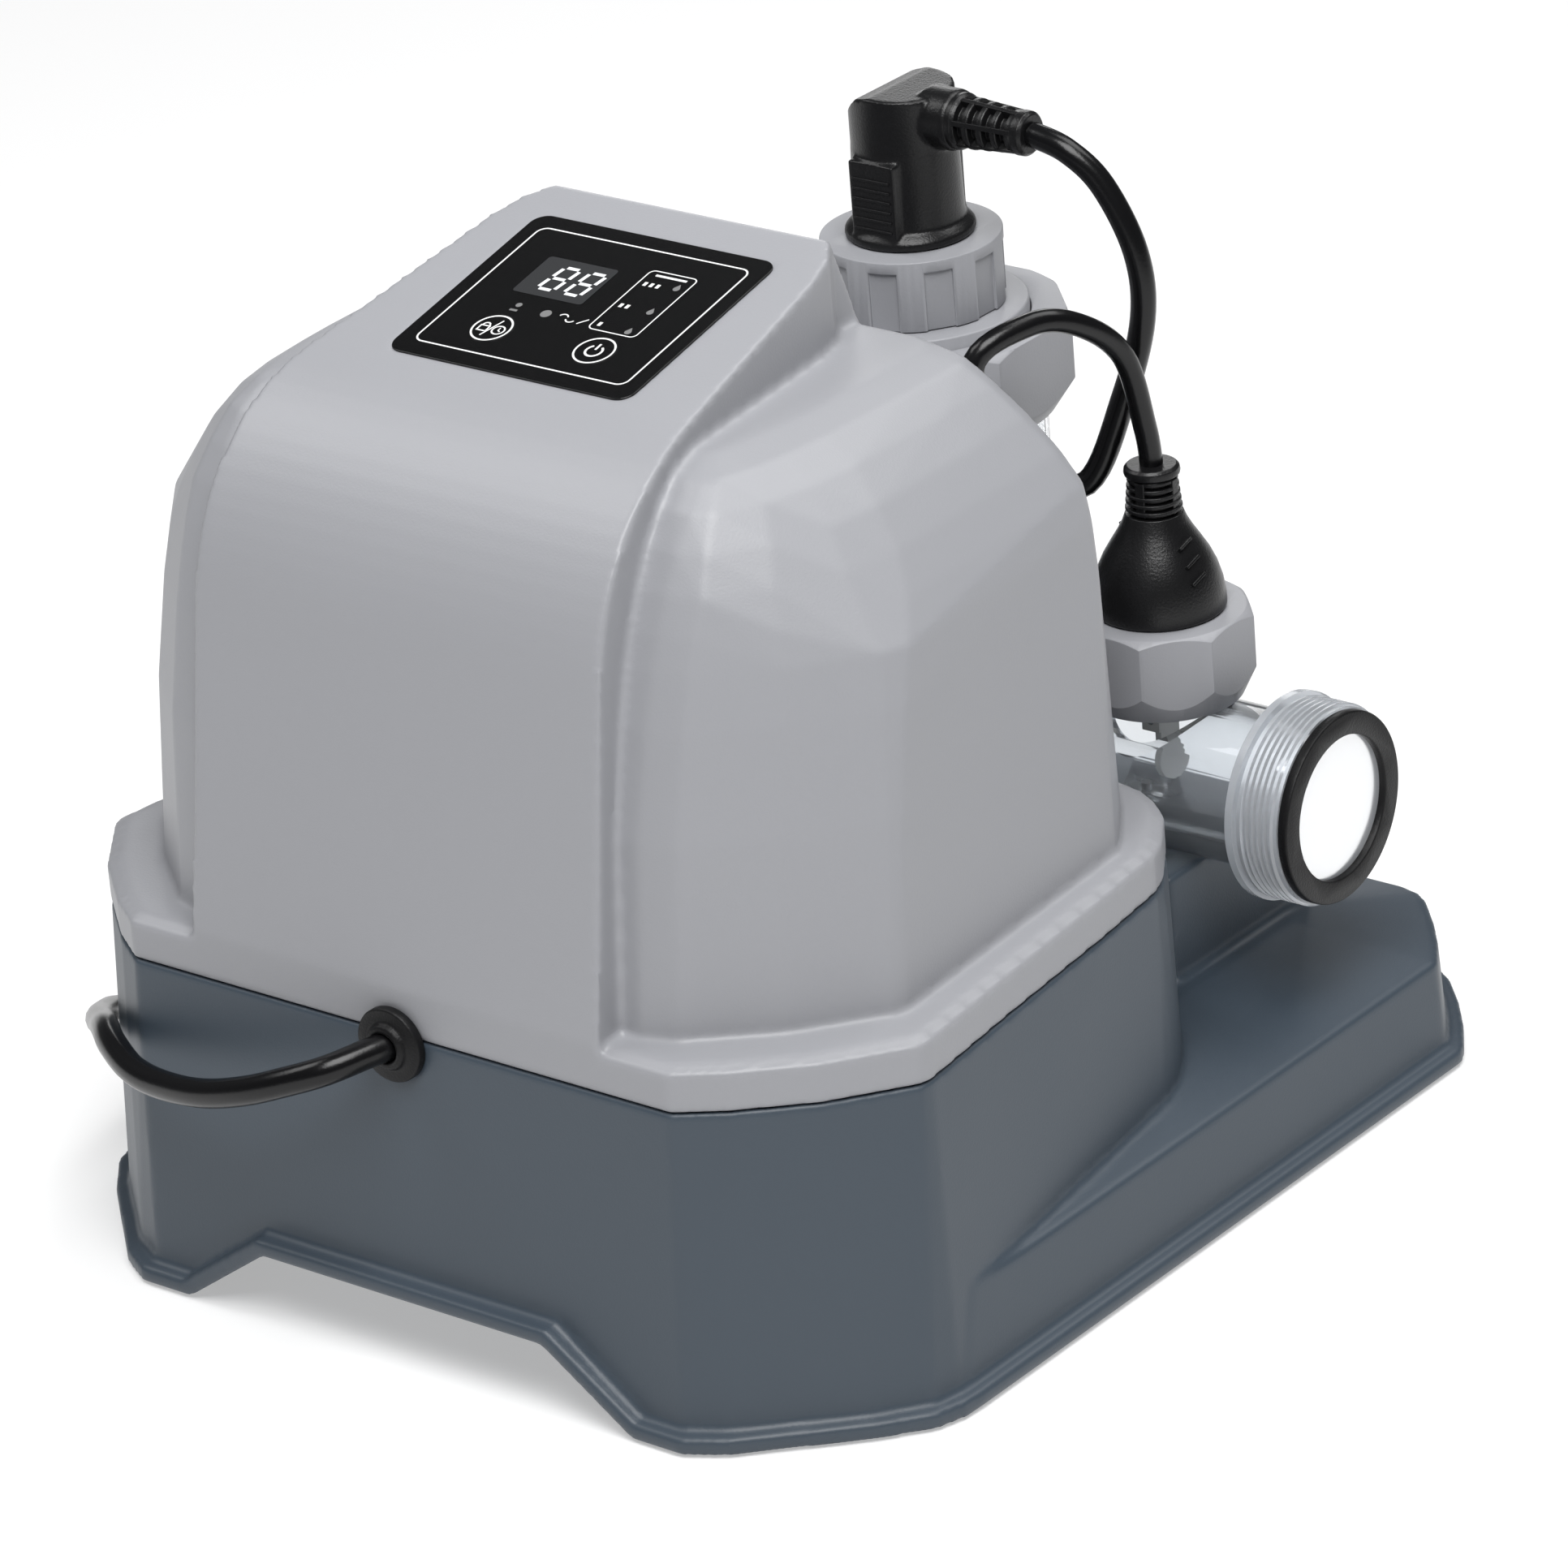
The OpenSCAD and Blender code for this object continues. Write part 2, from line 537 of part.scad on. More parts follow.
module cord_grommet() placed() color(soft_black) translate([0, 0, grommet_z]) rotate([-90, 0, 0])
    difference() {
        union() {
            translate([0, 0, -3.4]) cylinder(3.2, r = grommet_lip_r, $fn = fine);
            translate([0, 0, -5.4]) cylinder(2.1, r1 = 6.2, r2 = 7.2, $fn = fine);
            translate([0, 0, -0.4]) cylinder(4, r = grommet_neck_r, $fn = fine);
            translate([0, 0, 3.4]) cylinder(2.2, r = 9.2, $fn = fine);
            translate([0, 0, 5.4]) cylinder(16, r1 = 7.4, r2 = 5.6, $fn = fine);
        }
        translate([0, 0, -8]) cylinder(40, r = cord_d / 2 + slip, $fn = fine);
    }

module lead_grommet(r) difference() {
    union() {
        translate([0, 0, 0.3]) cylinder(3, r = 9, $fn = small);
        translate([0, 0, -6]) cylinder(6.6, r = lead_neck_r, $fn = small);
        translate([0, 0, 3]) cylinder(9, r1 = 6.6, r2 = lead_neck_r, $fn = small);
    }
    translate([0, 0, -10]) cylinder(40, r = r + slip, $fn = small);
}
module lead_grommets() placed() color(soft_black) {
    at_gland(0) lead_grommet(cell_lead_d / 2);
    at_gland(1) lead_grommet(sensor_lead_d / 2);
}

// ---------------------------------------------------------------- flow pipe
half_l = pipe_l / 2;
flange_t = 3;
flange_r = thread_d / 2 + 1;
chamber_r = chamber_d / 2;
chamber_bore = chamber_r - pipe_wall;
chamber_floor = pedestal_z + fit;
cell_thread_r = chamber_r + 1.3;
boss_r = 20.6;
boss_bore = 15;
boss_z = pipe_z + pipe_r + 14;

module flow_body() placed() color(clear_tint, 0.5) translate([0, pipe_y, 0]) difference() {
    union() {
        translate([0, 0, pipe_z]) rotate([0, 90, 0]) cylinder(pipe_l, r = pipe_r, $fn = fine, center = true);
        for (s = [-1, 1]) translate([s * half_l, 0, pipe_z]) rotate([0, -s * 90, 0]) {
            cylinder(thread_l, r = thread_d / 2, $fn = fine);
            translate([0, 0, thread_l]) cylinder(flange_t, r = flange_r, $fn = fine);
        }
        translate([0, 0, chamber_floor]) cylinder(chamber_z - chamber_floor, r = chamber_r, $fn = fine);
        translate([0, 0, chamber_z - 13]) cylinder(13, r = cell_thread_r, $fn = fine);
        translate([sensor_x, 0, pipe_z]) cylinder(boss_z - pipe_z, r = boss_r, $fn = fine);
        for (p = pipe_screw_places) translate([p[0], p[1] - pipe_y, chamber_floor]) cylinder(9, r = 5.5, $fn = small);
        for (x = [-58, 58]) translate([x - 7, -15, chamber_floor]) cube([14, 30, 7]);
    }
    translate([0, 0, pipe_z]) rotate([0, 90, 0]) cylinder(pipe_l + 2, r = bore_r, $fn = fine, center = true);
    translate([0, 0, chamber_floor + pipe_wall]) cylinder(chamber_z, r = chamber_bore, $fn = fine);
    translate([sensor_x, 0, pipe_z]) cylinder(boss_z, r = boss_bore, $fn = fine);
    for (p = pipe_screw_places) translate([p[0], p[1] - pipe_y, chamber_floor - 1]) cylinder(6.5, r = 1.2, $fn = small);
}

module pipe_screws() placed() color(steel) at_each(pipe_screw_places)
    translate([0, 0, pedestal_z - base_wall - 5]) pan_screw(13);

gasket_r = thread_d / 2 - 1.4;
module hose_gasket() rotate([0, 90, 0]) tube(gasket_r, gasket_t, bore_r + 1.3, fine);
module outlet_gasket() placed() color(soft_black) translate([half_l, pipe_y, pipe_z]) hose_gasket();
module inlet_gasket() placed() color(soft_black) translate([-half_l - gasket_t, pipe_y, pipe_z]) hose_gasket();

// ---------------------------------------------------------------- cell
head_flange_z = chamber_z + 0.2;
head_flange_h = 4.5;
disc_r = 32.7;
disc_z = head_flange_z + 19.5;
grip_z = disc_z + grip_h;
spigot_r = chamber_bore - slip;
socket_r = 14.4;
socket_z = grip_z - 20;
rib_count = 10;
neck_r = 22.6;
lid_t = 3;

cell_ring_r = 1.45;     // half the section of each O-ring
sensor_ring_r = 1.2;
// O-ring seated flush with a spigot of radius r, and the groove that holds it
module o_ring(r, section) rotate_extrude($fn = fine) translate([r - section, 0]) circle(section, $fn = small);
module ring_groove(r, section) rotate_extrude($fn = fine)
    translate([r - 2 * section - slip, -section - slip]) square([4 * section, 2 * section + 2 * slip]);

module cell_head() placed() color(cover_grey) translate([0, pipe_y, 0]) difference() {
    union() {
        translate([0, 0, head_flange_z]) cylinder(head_flange_h, r = cell_thread_r - 0.4, $fn = fine);
        translate([0, 0, head_flange_z]) cylinder(disc_z - head_flange_z, r = disc_r, $fn = fine);
        translate([0, 0, disc_z]) cylinder(grip_h - lid_t - fit, r = neck_r, $fn = fine);
        translate([0, 0, head_flange_z - 22]) cylinder(22.2, r = spigot_r, $fn = fine);
    }
    translate([0, 0, socket_z]) cylinder(40, r = socket_r, $fn = fine);
    translate([0, 0, head_flange_z - 23]) cylinder(14, r = spigot_r - 5.5, $fn = fine);
    translate([0, 0, head_flange_z - 16]) ring_groove(spigot_r, cell_ring_r);
    for (x = [-6, 6]) translate([x, 0, head_flange_z - 30]) cylinder(80, r = 2.5 + slip, $fn = small);
}

module cell_collar() placed() color(cover_grey) translate([0, pipe_y, 0]) difference() {
    translate([0, 0, disc_z + fit]) cylinder(grip_h - fit, r = grip_d / 2, $fn = fine);
    for (i = [0:rib_count - 1]) rotate(360 * i / rib_count)
        translate([grip_d / 2 - 1.1, -4.2, disc_z - 1]) cube([4, 8.4, grip_h - 2.5]);
    translate([0, 0, disc_z - 1]) cylinder(grip_h - lid_t + 1, r = neck_r + slip, $fn = fine);
    translate([0, 0, disc_z - 1]) cylinder(grip_h + 2, r = socket_r + fit, $fn = fine);
}

nut_bottom = chamber_z - 12.5;
nut_top = chamber_z + 16;
// Eight-sided nut blank whose lower corners are cut by a cone
module octagon_nut(r, h, foot_r, cone_h) intersection() {
    rotate(22.5) cylinder(h, r = r, $fn = 8);
    union() {
        cylinder(cone_h, r1 = foot_r, r2 = r + 0.1, $fn = fine);
        translate([0, 0, cone_h]) cylinder(h - cone_h - 2, r = r + 0.1, $fn = fine);
        translate([0, 0, h - 2]) cylinder(2, r1 = r + 0.1, r2 = r - 2.6, $fn = fine);
    }
}
module cell_nut() placed() color(cover_grey) translate([0, pipe_y, 0]) difference() {
    translate([0, 0, nut_bottom]) octagon_nut(cell_nut_d / 2, nut_top - nut_bottom, cell_thread_r + 2, 10);
    translate([0, 0, nut_bottom - 1]) cylinder(head_flange_z + head_flange_h + 0.3 - nut_bottom + 1, r = cell_thread_r + slip, $fn = fine);
    cylinder(2 * nut_top, r = disc_r + 0.5, $fn = fine);
}

module cell_o_ring() placed() color(soft_black) translate([0, pipe_y, head_flange_z - 16])
    o_ring(spigot_r, cell_ring_r);

plate_gap = 5;
plate_h = 78;
electrode_top = head_flange_z - 26;
tab_h = 5;          // each plate reaches only its own terminal's bar, by a tab
module electrode_plates() placed() color("#7d8288") translate([0, pipe_y, electrode_top - plate_h])
    for (i = [0:plate_count - 1]) translate([0, (i - (plate_count - 1) / 2) * plate_gap - 0.5, 0]) {
        translate([-26, 0, 0]) cube([52, 1, plate_h - tab_h]);
        translate([i % 2 == 0 ? -12 : 1, 0, 0]) cube([11, 1, plate_h]);
    }
module electrode_terminals() placed() color(steel) translate([0, pipe_y, 0])
    for (x = [-6, 6]) translate([x, 0, electrode_top]) {
        cylinder(socket_z + 3 - electrode_top, r = 2.5, $fn = small);
        translate([-2.5, -(plate_count - 1) / 2 * plate_gap - 1, 0])
            cube([5, (plate_count - 1) * plate_gap + 2, 3]);
    }

// right-angle plug: flange, round body, elbow, boot towards +X
plug_flange_z = grip_z + fit;
boot_z = grip_z + 37;
cell_boot_end = 46;
hood_top = grip_z + 45;
hood = [[-17, boot_z - 14], [-17, boot_z - 5], [-12.5, boot_z + 1], [-6, hood_top - 1.4],
    [-1, hood_top], [13, hood_top - 0.8], [17, hood_top - 3], [17, boot_z - 14]];
module cell_plug() placed() color(soft_black) translate([0, pipe_y, 0]) difference() {
    union() {
        translate([0, 0, plug_flange_z]) cylinder(4, r = 19, $fn = fine);
        translate([0, 0, plug_flange_z]) cylinder(boot_z - 10 - plug_flange_z, r1 = 16.2, r2 = 15.5, $fn = fine);
        translate([-8, -17, plug_flange_z + 2]) cube([16, 34, boot_z - 11 - plug_flange_z]);
        intersection() {
            along_y(-16, 16) polygon(hood);
            cylinder(hood_top + 1, r = 15.5, $fn = fine);
        }
        translate([0, 0, socket_z + 4]) cylinder(plug_flange_z - socket_z - 3, r = socket_r - slip, $fn = fine);
        translate([12, 0, boot_z]) rotate([0, 90, 0]) cylinder(10, r = 10, $fn = fine);
        translate([21, 0, boot_z]) rotate([0, 90, 0]) cylinder(cell_boot_end - 21, r1 = 8.4, r2 = 6.2, $fn = fine);
    }
    for (x = [-6, 6]) translate([x, 0, socket_z - 3]) cylinder(8, r = 2.7, $fn = small);
}

// ---------------------------------------------------------------- flow sensor
sensor_flange_z = boss_z + 0.2;
sensor_nut_bottom = pipe_z + pipe_r + 2 * fit;
sensor_nut_top = boss_z + 12.8;
sensor_plug_z = sensor_nut_top + 0.3;
hinge_z = pipe_z + 17;
module sensor_body() placed() color("#e8e9ea") translate([sensor_x, pipe_y, 0]) difference() {
    union() {
        translate([0, 0, sensor_flange_z]) cylinder(4, r = boss_r - 0.5, $fn = fine);
        translate([0, 0, sensor_flange_z]) cylinder(sensor_nut_top - sensor_flange_z, r = 15.5, $fn = fine);
        translate([0, 0, hinge_z + 4]) cylinder(sensor_flange_z - hinge_z - 3.9, r = boss_bore - slip, $fn = fine);
        for (s = [-1, 1]) translate([-3, s * 6.5 - 1.5, hinge_z - 3]) cube([6, 3, 9]);
    }
    translate([0, 0, sensor_nut_top - 8]) cylinder(20, r = 12.4, $fn = fine);
    translate([0, 0, hinge_z + 10]) ring_groove(boss_bore - slip, sensor_ring_r);
    translate([0, 0, hinge_z]) rotate([90, 0, 0]) cylinder(30, r = 1 + slip, $fn = small, center = true);
}
module sensor_nut() placed() color(cover_grey) translate([sensor_x, pipe_y, 0]) difference() {
    translate([0, 0, sensor_nut_bottom])
        octagon_nut(sensor_nut_d / 2, sensor_nut_top - sensor_nut_bottom, boss_r + 2.6, 9);
    translate([0, 0, sensor_nut_bottom - 1]) cylinder(sensor_flange_z + 4.3 - sensor_nut_bottom + 1, r = boss_r + slip, $fn = fine);
    cylinder(2 * sensor_nut_top, r = 15.5 + slip, $fn = fine);
}
module sensor_o_ring() placed() color(soft_black) translate([sensor_x, pipe_y, hinge_z + 10])
    o_ring(boss_bore - slip, sensor_ring_r);
module sensor_paddle() placed() color("#f1f2f2") translate([sensor_x, pipe_y, hinge_z]) difference() {
    union() {
        rotate([90, 0, 0]) cylinder(9, r = 2.4, $fn = small, center = true);
        translate([-1, -4.5, -12]) cube([2, 9, 12]);
        translate([-1, 0, -14]) rotate([0, 90, 0]) cylinder(2, r = 6.2, $fn = small);
    }
    rotate([90, 0, 0]) cylinder(30, r = 1 + slip, $fn = small, center = true);
}
module paddle_pin() placed() color(steel) translate([sensor_x, pipe_y, hinge_z]) rotate([90, 0, 0])
    cylinder(15.6, r = 1, $fn = small, center = true);

bell_top = sensor_plug_z + 27;
module sensor_plug() placed() color(soft_black) translate([sensor_x, pipe_y, 0]) union() {
    translate([0, 0, sensor_plug_z - 7]) cylinder(7.1, r = 12.4 - slip, $fn = fine);
    translate([0, 0, sensor_plug_z]) rotate_extrude($fn = fine)
        polygon([[0, 0], [19.4, 0], [19.2, 5], [17.6, 12], [14.6, 18], [10.6, 25], [8.4, 30], [7.8, 34],
            [7.2, 39], [7, 41], [8.2, 41.4], [8.2, 43.6], [7.4, 44.2], [0, 44.2]]);
}
sensor_cord_z = sensor_plug_z + 44.2;

// ---------------------------------------------------------------- leads and cord
// Smooth tube through a list of points: Catmull-Rom through them, rings of equal side count
function spline(p, i, t) = let (a = p[max(i - 1, 0)], b = p[i], c = p[i + 1], d = p[min(i + 2, len(p) - 1)])
    0.5 * (2 * b + (c - a) * t + (2 * a - 5 * b + 4 * c - d) * t * t + (3 * b - a - 3 * c + d) * t * t * t);
function centreline(p, steps) = concat([for (i = [0:len(p) - 2], k = [0:steps - 1]) spline(p, i, k / steps)],
    [p[len(p) - 1]]);
function unit(v) = v / norm(v);
function tangents(c) = [for (i = [0:len(c) - 1]) unit(c[min(i + 1, len(c) - 1)] - c[max(i - 1, 0)])];
function carried(t, i, u) = i == 0 ? u : let (v = carried(t, i - 1, u)) unit(v - (v * t[i]) * t[i]);
module swept(points, r, sides, steps, up) {
    c = centreline(points, steps);
    t = tangents(c);
    n = len(c);
    rings = [for (i = [0:n - 1]) let (u = carried(t, i, unit(up - (up * t[0]) * t[0])), w = cross(t[i], u))
        for (k = [0:sides - 1]) c[i] + r * (cos(360 * k / sides) * u + sin(360 * k / sides) * w)];
    walls = [for (i = [0:n - 2], k = [0:sides - 1]) let (a = i * sides, b = (k + 1) % sides)
        each [[a + k, a + b, a + sides + b], [a + k, a + sides + b, a + sides + k]]];
    ends = concat([for (k = [1:sides - 2]) [0, k + 1, k]],
        [for (k = [1:sides - 2]) let (a = (n - 1) * sides) [a, a + k, a + k + 1]]);
    polyhedron(rings, concat(walls, ends));
}

rear_normal = [0, cos(back_lean), sin(back_lean)];
function gland(i, out = 12) = lead_places[i] + out * rear_normal;
cell_end = [cell_boot_end, pipe_y, boot_z];
cell_route = [gland(0, -8), gland(0, 4), gland(0), gland(0) + 10 * rear_normal, gland(0) + [11, 18, 9],
    gland(0) + [23, 31, 30], [60, pipe_y - 3, 182], [70, pipe_y + 3, 207], [78, pipe_y + 4, 233],
    [77, pipe_y + 4, 253], [68, pipe_y + 2.5, 272], cell_end + [12, 0, -3], cell_end];
sensor_end = [sensor_x, pipe_y, sensor_cord_z];
sensor_route = [gland(1, -8), gland(1, 4), gland(1), gland(1) + 9 * rear_normal, gland(1) + [-3, 16, 20], gland(1) + [-5, 8, 48],
    [62, pipe_y - 55, 236], [70, pipe_y - 39, 245], [76, pipe_y - 24, 241], [80, pipe_y - 9, 227],
    sensor_end + [0, -2, 12], sensor_end];
module cell_lead() placed() color(soft_black) swept(cell_route, cell_lead_d / 2, 8, 3, [1, 0, 0]);
module sensor_lead() placed() color(soft_black) swept(sensor_route, sensor_lead_d / 2, 8, 3, [1, 0, 0]);

cord_r = cord_d / 2;
cord_route = [[0, 36, 97.5], [0, 20, 97.5], [0, 0, 97.5], [-3, -10, 97], [-9, -20, 95], [-20, -25, 91],
    [-33, -27, 86], [-50, -26, 80.5], [-69, -22, 76.5], [-85, -17, 75], [-101, -8, 75], [-112, 1, 73],
    [-124, 12, 67], [-141, 28, 58], [-157, 52, 46], [-166, 76, 29], [-174, 98, 13], [-186, 120, 5],
    [-204, 144, 4.2], [-225, 172, 4.2], [-251, 212, 4.2], [-260, 226, 4.2]];
coil_c = [-216, 262, 0];
coil_mean_r = 48;
coil_wide = 3;      // turns side by side on the floor
coil_high = 2;
tail_route = [[-272.4, 258, 12.6], [-273, 274, 12.6], [-274.5, 292, 13.5], [-276, 308, 17], [-276, 320, 18.5]];
pin_gap = 19;       // standard distance between the two round plug pins
module power_cord() placed() color(soft_black) {
    swept(cord_route, cord_r, 8, 3, [0, 0, 1]);
    swept(tail_route, cord_r, 8, 3, [0, 0, 1]);
}
module power_cord_coil() placed() color(soft_black) translate(coil_c) rotate_extrude($fn = fine)
    translate([coil_mean_r - coil_wide * cord_r, 0]) square([coil_wide * cord_d, coil_high * cord_d]);
module mains_plug() placed() color(soft_black) translate([-276, 316, 18.5]) rotate([-90, 0, 0]) {
    rotate_extrude($fn = fine) polygon([[0, 0], [6, 0], [8.5, 22], [12.5, 27], [18.3, 35], [18.5, 38],
        [18.5, 52], [0, 52]]);
    for (x = [-pin_gap / 2, pin_gap / 2]) translate([x, 0, 51]) cylinder(20, r = 2.4, $fn = small);
}

base_housing();
bottom_plate();
rubber_feet();
bottom_plate_screws();
top_cover();
cover_screws();
membrane_panel();
power_button();
timer_button();
display_module();
indicator_leds();
button_switches();
display_board();
display_board_screws();
power_board();
transformer();
heat_sink();
terminal_block();
board_standoffs();
board_screws();
cord_clamp();
cord_clamp_screws();
cord_grommet();
lead_grommets();
flow_body();
pipe_screws();
inlet_gasket();
outlet_gasket();
cell_head();
cell_collar();
cell_nut();
cell_o_ring();
electrode_plates();
electrode_terminals();
cell_plug();
cell_lead();
sensor_body();
sensor_nut();
sensor_o_ring();
sensor_paddle();
paddle_pin();
sensor_plug();
sensor_lead();
power_cord();
power_cord_coil();
mains_plug();
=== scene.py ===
import math

import bmesh
import bpy
from mathutils import Matrix, Vector


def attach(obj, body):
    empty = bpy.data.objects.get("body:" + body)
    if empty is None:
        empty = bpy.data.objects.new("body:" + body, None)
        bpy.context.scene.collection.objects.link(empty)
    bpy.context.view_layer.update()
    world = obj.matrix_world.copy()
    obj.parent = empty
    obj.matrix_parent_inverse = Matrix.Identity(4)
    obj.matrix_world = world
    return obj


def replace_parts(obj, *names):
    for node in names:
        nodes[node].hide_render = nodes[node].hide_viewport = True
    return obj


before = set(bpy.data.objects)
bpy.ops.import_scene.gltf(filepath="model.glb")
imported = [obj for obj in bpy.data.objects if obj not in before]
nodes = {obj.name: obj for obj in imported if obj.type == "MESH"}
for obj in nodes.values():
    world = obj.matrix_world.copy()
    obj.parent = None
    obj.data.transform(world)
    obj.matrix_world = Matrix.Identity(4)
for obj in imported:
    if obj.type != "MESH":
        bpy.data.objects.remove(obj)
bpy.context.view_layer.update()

# ------------------------------------------------------------------ places, in mm
FRONT = 160.5  # the housing's front face at the seam is this far in front of the origin
PIPE_Y, PIPE_Z = 251.0, 96.3
PIPE_R = 23.4
PIPE_END = 138.5
SENSOR_X = 81.0
COVER_TOP = 287
FIT = 0.3  # gap between separate mouldings
CHAMBER_TOP = 206.5
GRIP_TOP = CHAMBER_TOP + 0.2 + 19.5 + 21.5  # top of the ribbed collar
BOOT_Z = GRIP_TOP + 37  # where the cell lead leaves its plug
FLANGE_Z = GRIP_TOP + FIT
SENSOR_BOSS_TOP = PIPE_Z + PIPE_R + 14
SENSOR_NUT_TOP = SENSOR_BOSS_TOP + 12.8
SENSOR_PLUG_Z = SENSOR_NUT_TOP + FIT

TO_X = Matrix.Rotation(math.radians(90), 3, "Y")
TO_NEG_X = Matrix.Rotation(math.radians(-90), 3, "Y")
TO_Y = Matrix.Rotation(math.radians(-90), 3, "X")


def place(x, y, z):
    """A place in mm, with y = 0 on the housing's front face, as a point of the frame."""
    return Vector((x, y - FRONT, z)) / 1000


# ------------------------------------------------------------------ materials
def noise(nt, coord, scale, detail):
    node = nt.nodes.new("ShaderNodeTexNoise")
    node.inputs["Scale"].default_value = scale
    node.inputs["Detail"].default_value = detail
    nt.links.new(coord.outputs["Object"], node.inputs["Vector"])
    return node


def material(name, colour, rough, bump=0.0, grain=900.0, mottle=0.0, **sockets):
    """A procedural surface: fine grain in the relief, slow mottling in roughness and colour."""
    m = bpy.data.materials.new(name)
    m.use_nodes = True
    nt = m.node_tree
    bsdf = nt.nodes["Principled BSDF"]
    bsdf.inputs["Roughness"].default_value = rough
    bsdf.inputs["Base Color"].default_value = (*colour, 1)
    for key, value in sockets.items():
        bsdf.inputs[key.replace("_", " ")].default_value = value
    coord = nt.nodes.new("ShaderNodeTexCoord")
    slow = noise(nt, coord, 14, 5)
    mix = nt.nodes.new("ShaderNodeMix")
    mix.data_type = "RGBA"
    mix.inputs["A"].default_value = (*[c * (1 - mottle) for c in colour], 1)
    mix.inputs["B"].default_value = (*[min(1, c * (1 + mottle)) for c in colour], 1)
    nt.links.new(slow.outputs["Fac"], mix.inputs["Factor"])
    nt.links.new(mix.outputs["Result"], bsdf.inputs["Base Color"])
    spread = nt.nodes.new("ShaderNodeMapRange")
    spread.inputs["To Min"].default_value = rough * 0.88
    spread.inputs["To Max"].default_value = min(1, rough * 1.14)
    nt.links.new(slow.outputs["Fac"], spread.inputs["Value"])
    nt.links.new(spread.outputs["Result"], bsdf.inputs["Roughness"])
    if bump:
        fine = noise(nt, coord, grain, 3)
        relief = nt.nodes.new("ShaderNodeBump")
        relief.inputs["Strength"].default_value = bump
        relief.inputs["Distance"].default_value = 0.0004
        nt.links.new(fine.outputs["Fac"], relief.inputs["Height"])
        nt.links.new(relief.outputs["Normal"], bsdf.inputs["Normal"])
    return m


COVER = material("cover_grey_abs", (0.307, 0.311, 0.331), 0.42, 0.12, 1500, 0.015)
BASE = material("base_grey_abs", (0.046, 0.0625, 0.082), 0.44, 0.14, 1500, 0.03)
NUT = material("nut_grey_abs", (0.305, 0.309, 0.329), 0.46, 0.12, 1500, 0.02)
BLACK = material("black_moulding", (0.0065, 0.0065, 0.007), 0.32, 0.25, 1400, 0.1, Specular_IOR_Level=0.34)
SHEATH = material("cord_sheath", (0.004, 0.004, 0.0045), 0.24, 0.08, 1200, 0.1, Specular_IOR_Level=0.34)
RUBBER = material("black_rubber", (0.006, 0.006, 0.0065), 0.42, 0.3, 1600, 0.1, Specular_IOR_Level=0.22)
FILM = material("panel_film", (0.0015, 0.0015, 0.0017), 0.24, 0.05, 2500, 0.1)
INK = material("white_ink", (0.8, 0.8, 0.8), 0.45, 0.02, 2500, 0.01)
GREY_INK = material("dim_ink", (0.18, 0.18, 0.18), 0.45, 0.02, 2500, 0.05)
LCD = material("display_glass", (0.035, 0.036, 0.038), 0.12, 0.02, 2500, 0.1)
SEGMENT = material("display_segments", (0.75, 0.76, 0.78), 0.4, 0.0, 900, 0.03)
WHITE = material("white_plastic", (0.72, 0.72, 0.7), 0.4, 0.1, 1500, 0.02)
STEEL = material("steel", (0.5, 0.5, 0.51), 0.32, 0.1, 600, 0.05, Metallic=1.0)
BRASS = material("plug_pins", (0.66, 0.6, 0.5), 0.25, 0.05, 600, 0.05, Metallic=1.0)
TITAN = material("coated_titanium", (0.16, 0.165, 0.17), 0.5, 0.2, 500, 0.1, Metallic=0.8)
BOARD = material("circuit_board", (0.02, 0.13, 0.06), 0.4, 0.3, 160, 0.3)
COPPER = material("transformer_paint", (0.25, 0.09, 0.04), 0.5, 0.2, 400, 0.15)
LENS = material("led_lens", (0.6, 0.62, 0.62), 0.2, 0.0, 900, 0.05, Transmission_Weight=0.3)
CLEAR = material("clear_plastic", (0.88, 0.91, 0.94), 0.06, 0.03, 60, 0.01,
                 Transmission_Weight=0.93, IOR=1.45)
FROSTED = material("clear_plastic_thread", (0.74, 0.77, 0.81), 0.2, 0.03, 60, 0.01,
                   Transmission_Weight=0.62, IOR=1.45)
STUDIO = material("studio_white", (0.6, 0.6, 0.6), 0.9, 0.0, 900, 0.004,
                  Emission_Color=(1, 1, 1, 1), Emission_Strength=0.4)

# CAD nodes that aren't listed are steel.
finishes = {
    "base_housing": BASE, "bottom_plate": BASE, "top_cover": COVER, "rubber_feet": RUBBER,
    "membrane_panel": FILM, "power_button": FILM, "timer_button": FILM, "display_module": LCD,
    "indicator_leds": LENS, "button_switches": BLACK, "display_board": BOARD, "power_board": BOARD,
    "transformer": COPPER, "terminal_block": BOARD, "cord_clamp": BLACK,
    "cord_grommet": RUBBER, "lead_grommets": RUBBER, "flow_body": CLEAR, "inlet_gasket": RUBBER,
    "outlet_gasket": RUBBER, "cell_head": NUT, "cell_collar": NUT, "cell_nut": NUT,
    "cell_o_ring": RUBBER, "electrode_plates": TITAN, "cell_plug": BLACK, "cell_lead": SHEATH,
    "sensor_body": WHITE, "sensor_nut": NUT, "sensor_o_ring": RUBBER, "sensor_paddle": WHITE,
    "sensor_plug": BLACK, "sensor_lead": SHEATH, "power_cord": SHEATH, "power_cord_coil": SHEATH,
    "mains_plug": BLACK,
}
for name, obj in nodes.items():
    obj.data.materials.clear()
    obj.data.materials.append(finishes.get(name, STEEL))


# ------------------------------------------------------------------ builders
def link(name, mesh, mat, body="housing", smooth=True):
    obj = bpy.data.objects.new(name, mesh)
    bpy.context.scene.collection.objects.link(obj)
    mesh.materials.clear()
    mesh.materials.append(mat)
    if smooth:
        for face in mesh.polygons:
            face.use_smooth = True
    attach(obj, body)
    return obj


